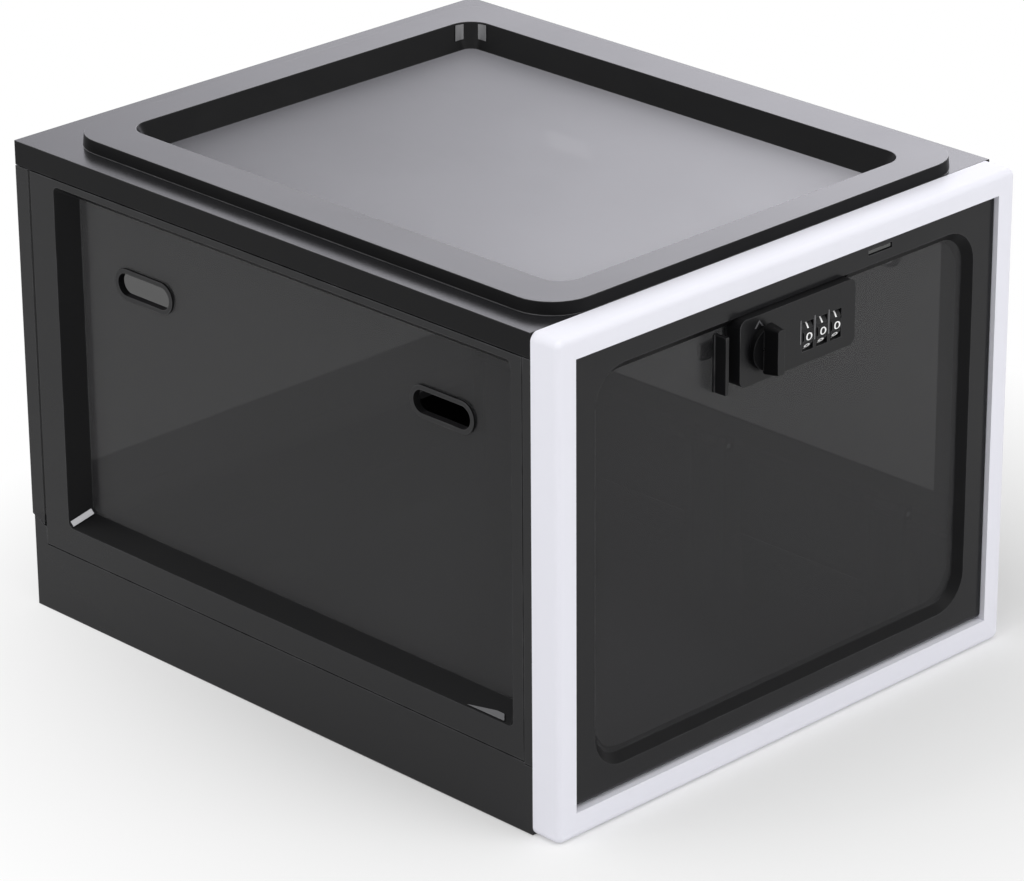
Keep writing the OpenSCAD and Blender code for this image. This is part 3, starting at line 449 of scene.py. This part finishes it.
# White and grey plastics of the frame and the catch, and grey ones for the painted highlights and
# reflections
bezel_plastic = plastic("white_frame_plastic", WHITE, SCUFFED_WHITE, rough=(0.44, 0.54), gloss=0.25,
                        rub_and_highlight=0.25, marks=0.15, dust=0.0, relief=0.05)
catch_plastic = plastic("grey_catch_plastic", CATCH_GREY, SCUFFED_WHITE, rough=(0.3, 0.4), gloss=0.4,
                        rub_and_highlight=0.3, rub_and_highlight_radius=0.0004, dust=0.0)
# Grey in place of reflections: painted reflection
reflection_plastic = plastic("painted_reflection_plastic", REFLECTION_GREY, SCUFFED_WHITE, rough=(0.3, 0.4), gloss=0.5,
                      rub_and_highlight=0.2, rub_and_highlight_radius=0.0004, dust=0.0)
# Light, glossy grey for a painted corner highlight
highlight_corner_plastic = plastic("painted_highlight_corner_plastic", CORNER_HIGHLIGHT_GREY, SCUFFED_WHITE, rough=(0.2, 0.3),
                         gloss=0.6, rub_and_highlight=0.2, rub_and_highlight_radius=0.0003, dust=0.0)

# Black plastics of the lock, and its print
lock_plastic = plastic("black_lock_plastic", BLACK, RUB_AND_HIGHLIGHT_BLACK, rough=(0.34, 0.44), gloss=0.22,
                       grain=900.0, relief=0.12, rub_and_highlight=0.8, rub_and_highlight_radius=0.0005)
# A darker, duller copy of the lock's black for the thumb turn: painted shade
shaded_knob_plastic = plastic("black_knob_plastic_painted_shade", KNOB_SHADE_BLACK, RUB_AND_HIGHLIGHT_BLACK, rough=(0.4, 0.5), gloss=0.06,
                       grain=1100.0, relief=0.1, rub_and_highlight=0.35, rub_and_highlight_radius=0.0005)
dial_plastic = plastic("black_dial_plastic", BLACK, RUB_AND_HIGHLIGHT_BLACK, rough=(0.36, 0.46), gloss=0.2,
                       grain=1400.0, relief=0.08, rub_and_highlight_radius=0.0004)
print_white = plastic("white_print", PRINT_WHITE, SCUFFED_WHITE, rough=(0.45, 0.6), gloss=0.4,
                      grain=1500.0, rub_and_highlight=0.2, rub_and_highlight_radius=0.0001, dust=0.0)
print_grey = plastic("grey_print", PRINT_GREY, SCUFFED_WHITE, rough=(0.45, 0.6), gloss=0.3,
                     grain=1500.0, rub_and_highlight=0.1, rub_and_highlight_radius=0.0001, dust=0.0)
arrow_ink = plastic("worn_arrow_ink", ARROW_GREY, SCUFFED_WHITE, rough=(0.45, 0.6), gloss=0.2,
                    grain=1500.0, rub_and_highlight=0.1, rub_and_highlight_radius=0.0001, dust=0.0)

# Metals
pin_steel = metal("pin_steel", STEEL, 0.28, (0.03, 1.0, 1.0))
# Steel darkened for the bezel screws: painted shade
shaded_screw_steel = metal("screw_steel_painted_shade", SCREW_SHADE_STEEL, 0.34, (1.0, 0.05, 1.0))
screw_steel = metal("screw_steel", STEEL, 0.24, (1.0, 0.05, 1.0))
spring_steel = metal("spring_steel", STEEL, 0.3, (1.0, 0.2, 0.04))
plated_zinc = metal("plated_zinc", ZINC, 0.2, (1.0, 0.1, 1.0), lines=0.1)


# Piece making
WELD = 0.004 * MM
FLAT_WITHIN = math.radians(0.4)
EDGE_ANGLE = math.radians(30)


def merged_copy(node):
    """The node's solid as one welded mesh with flat faces joined up."""
    shape = bmesh.new()
    shape.from_mesh(nodes[node].data)
    bmesh.ops.remove_doubles(shape, verts=shape.verts, dist=WELD)
    bmesh.ops.dissolve_degenerate(shape, edges=shape.edges, dist=WELD)
    bmesh.ops.dissolve_limit(shape, angle_limit=FLAT_WITHIN, verts=shape.verts, edges=shape.edges)
    points = [v.co.copy() for v in shape.verts]
    shape.verts.index_update()
    faces = [[v.index for v in f.verts] for f in shape.faces]
    shape.free()
    mesh = bpy.data.meshes.new(node + "_skin")
    mesh.from_pydata(points, [], faces)
    mesh.validate()
    return mesh


def closed_mesh(name, points, faces):
    """A closed mesh whose faces all point outwards."""
    mesh = bpy.data.meshes.new(name)
    mesh.from_pydata(points, [], faces)
    shape = bmesh.new()
    shape.from_mesh(mesh)
    bmesh.ops.recalc_face_normals(shape, faces=shape.faces)
    shape.to_mesh(mesh)
    shape.free()
    return mesh


def link(name, mesh):
    piece = bpy.data.objects.new(name, mesh)
    bpy.context.scene.collection.objects.link(piece)
    return piece


def round_edges(piece, width, steps):
    bevel = piece.modifiers.new("edges", "BEVEL")
    bevel.width = width * MM
    bevel.segments = steps
    bevel.limit_method = "ANGLE"
    bevel.angle_limit = EDGE_ANGLE
    return bevel


def settle(piece, mesh_name):
    """Turns the piece and its modifiers into one plain mesh."""
    view = bpy.context.evaluated_depsgraph_get()
    view.update()
    mesh = bpy.data.meshes.new_from_object(piece.evaluated_get(view))
    mesh.name = mesh_name
    piece.modifiers.clear()
    piece.data = mesh
    return piece


def moulded(name, node, body, materials, edge=0.5, choose=None, steps=2):
    """A node's shape with moulded edges; choose(centre in mm, normal) picks a face's material."""
    piece = link(name, merged_copy(node))
    round_edges(piece, edge, steps).harden_normals = True
    for face in piece.data.polygons:
        face.use_smooth = True
    settle(piece, name)
    for material in materials:
        piece.data.materials.append(material)
    if choose:
        for face in piece.data.polygons:
            face.material_index = choose(face.center / MM, face.normal)
    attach(piece, body)
    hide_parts(node)
    return piece


def finish_node(node, material):
    """A CAD node that stays as it is, with its finish."""
    mesh = nodes[node].data
    mesh.materials.clear()
    mesh.materials.append(material)


# Choosers of a face's material
def within(value, span):
    return span[0] < value < span[1]


def side_part(centre, normal):
    """Side panel: 1 for the thin pane, seen from either side, and 2 for the walls round it, darker as
    painted shade.
    """
    out = abs(centre.x)
    lean = abs(normal.x)
    if lean > SQUARE_ON and (abs(out - PANE_OUTER_X) < NEAR_FACE or out < PANE_INNER_X + NEAR_FACE):
        return 1
    recess_wall = within(lean, RECESS_WALL_LEAN) and within(out, RECESS_WALL_X)
    vent_wall = lean < SIDE_ON and within(out, VENT_WALL_X) and abs(centre.z - VENT_Z) < VENT_REACH
    return 2 if recess_wall or vent_wall else 0


def rear_part(centre, normal):
    """Rear panel: 1 for the thin pane, seen from either side."""
    return 1 if abs(normal.y) > SQUARE_ON and centre.y < REAR_PANE_Y else 0


def door_part(centre, normal):
    """Door: 1 for the thin window and 2 for the walls round it, darker as painted shade."""
    lean = abs(normal.y)
    if lean > SQUARE_ON and min(abs(centre.y - face) for face in WINDOW_FACES_Y) < NEAR_FACE:
        return 1
    wall = within(lean, WINDOW_WALL_LEAN) and within(centre.y, WINDOW_WALL_Y)
    return 2 if wall and normal.y < 0 else 0


def lid_part(centre, normal):
    """Lid: 1 for the sunken floor, seen from above or below, and 2 for upright and sloped walls,
    darker as painted shade.
    """
    over_hollow = abs(centre.x) < HOLLOW_REACH_X
    if abs(normal.z) > SQUARE_ON:
        return 1 if centre.z < LID_FLOOR_Z and over_hollow else 0
    if within(normal.z, HOLLOW_WALL_LEAN) and centre.z < RIM_EDGE_Z and over_hollow:
        return 2
    shoulder = abs(centre.z - FLANGE_Z) < FLANGE_REACH or centre.z > RIM_EDGE_Z
    return 0 if shoulder or normal.z > LOOKS_UP else 2


def housing_part(centre, normal):
    """Lock housing: 1 for the raised arrow above the thumb turn."""
    beside_knob = abs(centre.x - ARROW_X) < ARROW_REACH and within(centre.z, ARROW_Z)
    return 1 if beside_knob and centre.y < ARROW_FOOT_Y else 0


def knob_part(centre, normal):
    """Thumb turn: 1 for the bar's front face, in the housing's plastic; the other faces keep the
    darker knob plastic as painted shade.
    """
    return 1 if normal.y < -SQUARE_ON and centre.y < BAR_FRONT_Y else 0


# Shell, panels, door and lock
moulded("base_tray_shell", "base_tray", "box", [shell_plastic], edge=0.6)
moulded("rear_panel_shell", "rear_panel", "box", [rear_plastic, rear_pane],
        edge=0.6, choose=rear_part)
moulded("front_frame_shell", "front_frame", "box", [shell_plastic], edge=0.4)
moulded("lid_shell", "lid", "box", [lid_plastic, lid_pane, shaded_wall_plastic],
        edge=0.8, choose=lid_part, steps=3)
moulded("bezel_shell", "front_bezel", "box", [bezel_plastic], edge=0.5)
moulded("catch_tab", "door_catch", "box", [catch_plastic], edge=0.2)
for side in ("left", "right"):
    moulded(side + "_panel_shell", side + "_side_panel", side + "_panel",
            [panel_plastic, panel_pane, shaded_wall_plastic], edge=0.6, choose=side_part, steps=3)
moulded("door_shell", "door", "door_leaf", [door_plastic, door_pane, shaded_wall_plastic],
        edge=0.6, choose=door_part, steps=3)
moulded("door_pull_fin", "door_pull", "door_leaf", [lock_plastic], edge=0.4)
moulded("lock_housing_shell", "lock_housing", "door_leaf", [lock_plastic, arrow_ink],
        edge=0.35, choose=housing_part)
moulded("lock_back_cover", "lock_back_case", "door_leaf", [lock_plastic], edge=0.3)
moulded("thumb_turn", "lock_knob", "knob", [shaded_knob_plastic, lock_plastic],
        edge=0.5, choose=knob_part, steps=3)
for order, body in DIAL_BODIES.items():
    moulded("dial_drum_" + order, "dial_" + order, body, [dial_plastic], edge=0.25)

# Pins, screws, spring and the lock's inner parts
for node in ("left_hinge_pins", "right_hinge_pins", "front_frame_pins", "rear_panel_pins",
             "door_hinge_pins", "dial_axle"):
    finish_node(node, pin_steel)
finish_node("detent_spring", spring_steel)
# The bezel screws get the darkened steel: painted shade
finish_node("bezel_screws", shaded_screw_steel)
finish_node("lock_screws", screw_steel)
finish_node("cam_screw", screw_steel)
for node in ("lock_spindle", "spindle_washer", "lock_cam"):
    finish_node(node, plated_zinc)


# Geometry node helpers
def start_shape_tree(name, inputs):
    tree = bpy.data.node_groups.new(name, "GeometryNodeTree")
    tree.interface.new_socket("Geometry", in_out="INPUT", socket_type="NodeSocketGeometry")
    for label, kind, value in inputs:
        socket = tree.interface.new_socket(label, in_out="INPUT", socket_type=kind)
        if value is not None:
            socket.default_value = value
    tree.interface.new_socket("Geometry", in_out="OUTPUT", socket_type="NodeSocketGeometry")
    return tree, tree.nodes.new("NodeGroupInput"), tree.nodes.new("NodeGroupOutput")


def xyz(tree, **parts):
    return add(tree, "ShaderNodeCombineXYZ", parts).outputs[0]


def end_in_ink(tree, shape, ink, out):
    """Gives the shape its material and ends the tree."""
    inked = add(tree, "GeometryNodeSetMaterial", {"Geometry": shape, "Material": ink})
    tree.links.new(inked.outputs[0], out.inputs[0])


def grown(name, mesh, tree, values):
    """Runs a geometry tree on a mesh and keeps the result as a plain piece."""
    piece = link(name, mesh)
    modifier = piece.modifiers.new("grow", "NODES")
    modifier.node_group = tree
    for item in tree.interface.items_tree:
        if item.in_out == "INPUT" and item.name in values:
            modifier[item.identifier] = values[item.name]
    return settle(piece, name)


# Numbers round the dials
def wrap_round_drum(tree, shape, radius, axis):
    """Bends a tape that lies flat round a drum along X: up the tape becomes round the drum."""
    place = tree.nodes.new("GeometryNodeInputPosition").outputs[0]
    flat = add(tree, "ShaderNodeSeparateXYZ", {0: place}).outputs
    angle = calculate(tree, "DIVIDE", flat["Y"], radius)
    reach = plus(tree, radius, flat["Z"])
    back = times(tree, times(tree, reach, calculate(tree, "COSINE", angle)), -1.0)
    rise = times(tree, reach, calculate(tree, "SINE", angle))
    wrapped = xyz(tree, X=flat["X"], Y=back, Z=rise)
    shifted = add(tree, "ShaderNodeVectorMath", {0: wrapped, 1: axis}, operation="ADD").outputs[0]
    return add(tree, "GeometryNodeSetPosition", {"Geometry": shape, "Position": shifted}).outputs[0]


def make_number_tape():
    """Numbers 0 to 9 in a line up a tape that is then wrapped round a drum lying along X."""
    tree, into, out = start_shape_tree(
        "number_tape",
        [("Radius", "NodeSocketFloat", 0.009), ("Size", "NodeSocketFloat", DIGIT_SIZE),
         ("Thickness", "NodeSocketFloat", PRINT_THICKNESS), ("Axis", "NodeSocketVector", (0, 0, 0)),
         ("Ink", "NodeSocketMaterial", None)])
    tape = tree.nodes.new("GeometryNodeJoinGeometry")
    pitch = times(tree, into.outputs["Radius"], math.tau / 10)
    for number in reversed(range(10)):
        text = add(tree, "GeometryNodeStringToCurves",
                   {"String": str(number), "Size": into.outputs["Size"]},
                   align_x="CENTER", align_y="MIDDLE")
        place = number if number < 6 else number - 10
        rise = times(tree, pitch, float(place))
        at = xyz(tree, Y=plus(tree, rise, DIGIT_SHIFT))
        keys = {"Geometry": text.outputs[0], "Translation": at, "Scale": DIGIT_STRETCH}
        moved = add(tree, "GeometryNodeTransform", keys)
        tree.links.new(moved.outputs[0], tape.inputs[0])
    loose = add(tree, "GeometryNodeRealizeInstances", {0: tape.outputs[0]})
    filled = add(tree, "GeometryNodeFillCurve", {0: loose.outputs[0]})
    cut = add(tree, "GeometryNodeSubdivideMesh", {0: filled.outputs[0], "Level": 1})
    keys = {0: cut.outputs[0], "Offset Scale": into.outputs["Thickness"], "Individual": False}
    thick = add(tree, "GeometryNodeExtrudeMesh", keys)
    bent = wrap_round_drum(tree, thick.outputs[0], into.outputs["Radius"], into.outputs["Axis"])
    end_in_ink(tree, bent, into.outputs["Ink"], out)
    return tree


number_tape = make_number_tape()
for order, body in DIAL_BODIES.items():
    low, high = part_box("dial_" + order)
    middle = (low + high) / 2
    numbers = grown("dial_numbers_" + order, bpy.data.meshes.new("tape"), number_tape,
                    {"Radius": (high.z - low.z) / 2, "Axis": middle, "Ink": print_white})
    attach(numbers, body)


# Index lines beside the dial windows
def make_bar_row():
    """A row of short upright bars along X, with round sections, on a face that looks along -Y."""
    tree, into, out = start_shape_tree(
        "bar_row",
        [("Count", "NodeSocketInt", len(DIAL_BODIES)), ("Pitch", "NodeSocketFloat", 0.01),
         ("Length", "NodeSocketFloat", 0.01), ("Width", "NodeSocketFloat", 0.0005),
         ("Thickness", "NodeSocketFloat", PRINT_THICKNESS), ("Start", "NodeSocketVector", (0, 0, 0)),
         ("Ink", "NodeSocketMaterial", None)])
    keys = {"Count": into.outputs["Count"], "Start Location": into.outputs["Start"],
            "Offset": xyz(tree, X=into.outputs["Pitch"])}
    places = add(tree, "GeometryNodeMeshLine", keys)
    half = times(tree, into.outputs["Length"], 0.5)
    ends = {"Start": xyz(tree, Z=times(tree, half, -1.0)), "End": xyz(tree, Z=half)}
    spine = add(tree, "GeometryNodeCurvePrimitiveLine", ends)
    keys = {"Resolution": 10, "Radius": times(tree, into.outputs["Width"], 0.5)}
    section = add(tree, "GeometryNodeCurvePrimitiveCircle", keys)
    keys = {"Curve": spine.outputs[0], "Profile Curve": section.outputs[0], "Fill Caps": True}
    bar = add(tree, "GeometryNodeCurveToMesh", keys)
    flatness = calculate(tree, "DIVIDE", into.outputs["Thickness"], into.outputs["Width"])
    keys = {"Geometry": bar.outputs[0], "Scale": xyz(tree, X=1.0, Y=flatness, Z=1.0)}
    thin = add(tree, "GeometryNodeTransform", keys)
    keys = {"Points": places.outputs[0], "Instance": thin.outputs[0]}
    placed = add(tree, "GeometryNodeInstanceOnPoints", keys)
    loose = add(tree, "GeometryNodeRealizeInstances", {0: placed.outputs[0]})
    end_in_ink(tree, loose.outputs[0], into.outputs["Ink"], out)
    return tree


bar_row = make_bar_row()
first_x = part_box("dial_1")[0].x
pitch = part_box("dial_2")[0].x - first_x
index_start = Vector((first_x - INDEX_GAP, HOUSING_FACE_Y * MM, DIAL_Z * MM + INDEX_RISE))
index_lines = grown("dial_index_lines", bpy.data.meshes.new("lines"), bar_row,
                    {**INDEX_LINE, "Pitch": pitch, "Start": index_start, "Ink": print_grey})
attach(index_lines, "door_leaf")


# Painted highlights and reflections in the lid's hollow and in the left panel's recess
def wall_point(across, depth, proud):
    """A place in mm on the wall of the hollow's rear right corner, across from the corner's middle."""
    centre_x, centre_y = HOLLOW_CORNER_AT
    reach = HOLLOW_R - depth * HOLLOW_LEAN - proud
    height = RIM_TOP_Z - depth + proud * HOLLOW_LEAN
    if abs(across) <= reach * math.sin(math.radians(45)):
        turn = math.radians(45) + math.asin(across / reach)
        return Vector((centre_x + reach * math.sin(turn), centre_y + reach * math.cos(turn), height))
    past = reach - (abs(across) * math.sqrt(2) - reach)
    if across > 0:
        return Vector((centre_x + reach, centre_y + past - reach, height))
    return Vector((centre_x + past - reach, centre_y + reach, height))


def corner_pad(name, first, last, body, material):
    """A painted reflection: a small light pad that follows the wall of the lid's hollow, between two
    places across its corner.
    """
    count = 8
    rows = [(REFLECTION_TOP, REFLECTION_SUNK), (REFLECTION_TOP, REFLECTION_PROUD), (REFLECTION_FOOT, REFLECTION_PROUD), (REFLECTION_FOOT, REFLECTION_SUNK)]
    places = [first + (last - first) * i / count for i in range(count + 1)]
    points = [wall_point(across, depth, proud) * MM for across in places for depth, proud in rows]
    faces = [(0, 1, 2, 3), tuple(4 * count + k for k in (3, 2, 1, 0))]
    for i in range(count):
        for k in range(4):
            a, b = 4 * i + k, 4 * i + (k + 1) % 4
            faces.append((b, a, a + 4, b + 4))
    piece = link(name, closed_mesh(name, points, faces))
    round_edges(piece, REFLECTION_EDGE, steps=2)
    settle(piece, name)
    piece.data.materials.append(material)
    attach(piece, body)
    return piece


def sliver(name, points, lift, body, material):
    """A thin closed plate on a wall, for a painted highlight: points in mm round its face, lift the
    way its face stands off.
    """
    count = len(points)
    lift = Vector(lift)
    top = [(Vector(point) + lift) * MM for point in points]
    under = [(Vector(point) - lift * SLIVER_SINK) * MM for point in points]
    faces = [tuple(range(count)), tuple(reversed(range(count, 2 * count)))]
    faces += [(i, count + i, count + (i + 1) % count, (i + 1) % count) for i in range(count)]
    piece = link(name, closed_mesh(name, top + under, faces))
    piece.data.materials.append(material)
    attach(piece, body)
    return piece


sliver("left_recess_corner_highlight", REAR_HIGHLIGHT, REAR_HIGHLIGHT_LIFT, "left_panel",
       highlight_corner_plastic)
sliver("left_recess_glint", FRONT_HIGHLIGHT, FRONT_HIGHLIGHT_LIFT, "left_panel",
       reflection_plastic)
corner_pad("lid_corner_reflection_left", -REFLECTION_FAR, -REFLECTION_NEAR, "box", reflection_plastic)
corner_pad("lid_corner_reflection_right", REFLECTION_NEAR, REFLECTION_FAR, "box", reflection_plastic)

# Camera at the photograph's place: metres, radians, and a focal length in the photograph's pixels
CAMERA_AT = Vector((-1.4755, -1.5032, 1.0045))
TURN = -0.776025
TILT = 0.407790
ROLL = -0.007076
FOCAL_PIXELS = 4805.9
PHOTO_PIXELS = 1024
SENSOR = 36.0


def make_camera():
    back = Vector((math.sin(TURN) * math.cos(TILT), -math.cos(TURN) * math.cos(TILT), math.sin(TILT)))
    right = Vector((math.cos(TURN), math.sin(TURN), 0.0))
    up = back.cross(right)
    across = right * math.cos(ROLL) + up * math.sin(ROLL)
    upward = up * math.cos(ROLL) - right * math.sin(ROLL)
    data = bpy.data.cameras.new("camera")
    data.lens = FOCAL_PIXELS / PHOTO_PIXELS * SENSOR
    data.sensor_width = SENSOR
    data.clip_end = 50.0
    camera = link("camera", data)
    camera.matrix_world = Matrix((across, upward, back)).transposed().to_4x4()
    camera.location = CAMERA_AT
    bpy.context.scene.camera = camera


# Floor, sky, card and lamps, in metres and watts
FLOOR_HALF = 12.0
FLOOR_DROP = 0.0004
SHADOW_AT = (0.03, -0.08, 0.0)
SHADOW_NEAR = 0.18
SHADOW_FAR = 0.40
SHADOW_GLOW = 0.2
SKY_LIGHT = 0.5
CARD_TURN = math.radians(45)
CARD_AWAY = 1.0
CARD_HEIGHT = 0.62
CARD_HALF = 1.1
CARD_LOW = -0.42
CARD_HIGH = 0.5
CARD_FADE = 0.42
CARD_DIM = 1.2
CARD_BRIGHT = 3.4
LAMPS = [("top_lamp", (-0.5, -0.5, 1.9), (0, 0, 0.1), (1.8, 1.8), 15.6),
         ("front_lamp", (0.6, -2.0, 1.1), (0, 0, 0.12), (1.4, 1.2), 15.0),
         ("left_lamp", (-2.0, 0.3, 1.1), (0, 0, 0.12), (1.4, 1.2), 11.5)]


def bright_to_eye(tree):
    """1 for what the camera, a gloss or a clear pane sees, and 0 for lighting."""
    path = tree.nodes.new("ShaderNodeLightPath").outputs
    seen = calculate(tree, "MAXIMUM", path["Is Camera Ray"], path["Is Glossy Ray"])
    return calculate(tree, "MAXIMUM", seen, path["Is Transmission Ray"])


def make_floor():
    """Pale paper that keeps the box's shadow near it and turns to plain white further off; round
    SHADOW_AT the floor's shade is partly real shadow and partly painted shade.
    """
    shape = bmesh.new()
    bmesh.ops.create_grid(shape, x_segments=8, y_segments=8, size=FLOOR_HALF)
    mesh = bpy.data.meshes.new("floor")
    shape.to_mesh(mesh)
    shape.free()
    floor = link("floor", mesh)
    floor.location.z = -FLOOR_DROP
    material, tree, out = start_bare_material("floor_paper")
    lit = add(tree, "ShaderNodeBsdfDiffuse", {"Color": PAPER})
    glow = add(tree, "ShaderNodeEmission", {"Color": PURE_WHITE, "Strength": 1.0})
    keys = {0: on_piece(tree), 1: SHADOW_AT}
    far = add(tree, "ShaderNodeVectorMath", keys, operation="DISTANCE").outputs["Value"]
    fade = spread(tree, far, SHADOW_NEAR, SHADOW_FAR, SHADOW_GLOW, 1.0)
    share = times(tree, fade, bright_to_eye(tree))
    mixed = add(tree, "ShaderNodeMixShader", {0: share, 1: lit.outputs[0], 2: glow.outputs[0]})
    tree.links.new(mixed.outputs[0], out.inputs["Surface"])
    mesh.materials.append(material)


def make_sky():
    world = bpy.data.worlds.new("studio")
    bpy.context.scene.world = world
    world.use_nodes = True
    tree = world.node_tree
    strength = spread(tree, bright_to_eye(tree), 0.0, 1.0, SKY_LIGHT, 1.0)
    tree.links.new(strength, tree.nodes["Background"].inputs["Strength"])
    tree.nodes["Background"].inputs["Color"].default_value = PURE_WHITE


def make_rear_card():
    """A bright card behind the box on the right, for the sheen along the lid."""
    ahead = Vector((math.sin(CARD_TURN), math.cos(CARD_TURN), 0))
    side = Vector((ahead.y, -ahead.x, 0))
    centre = ahead * CARD_AWAY + Vector((0, 0, CARD_HEIGHT))
    corners = [(-CARD_HALF, CARD_LOW), (CARD_HALF, CARD_LOW),
               (CARD_HALF, CARD_HIGH), (-CARD_HALF, CARD_HIGH)]
    mesh = bpy.data.meshes.new("rear_card")
    mesh.from_pydata([centre + side * a + Vector((0, 0, b)) for a, b in corners], [], [(0, 3, 2, 1)])
    card = link("rear_card", mesh)
    material, tree, out = start_bare_material("card_glow")
    along = share_along(tree, on_piece(tree), side)
    strength = spread(tree, along, -CARD_FADE, CARD_FADE, CARD_DIM, CARD_BRIGHT)
    glow = add(tree, "ShaderNodeEmission", {"Color": CARD_WHITE, "Strength": strength})
    tree.links.new(glow.outputs[0], out.inputs["Surface"])
    mesh.materials.append(material)
    card.visible_camera = False
    card.visible_diffuse = False
    card.visible_shadow = False
    card.visible_transmission = False


def soft_lamp(name, at, towards, size, power):
    data = bpy.data.lights.new(name, "AREA")
    data.shape = "RECTANGLE"
    data.size, data.size_y = size
    data.energy = power
    lamp = link(name, data)
    lamp.location = at
    lamp.rotation_mode = "QUATERNION"
    lamp.rotation_quaternion = (Vector(towards) - Vector(at)).to_track_quat("-Z", "Y")
    lamp.visible_camera = False


make_camera()
make_floor()
make_sky()
make_rear_card()
for lamp in LAMPS:
    soft_lamp(*lamp)

bpy.context.scene.view_settings.view_transform = "Standard"
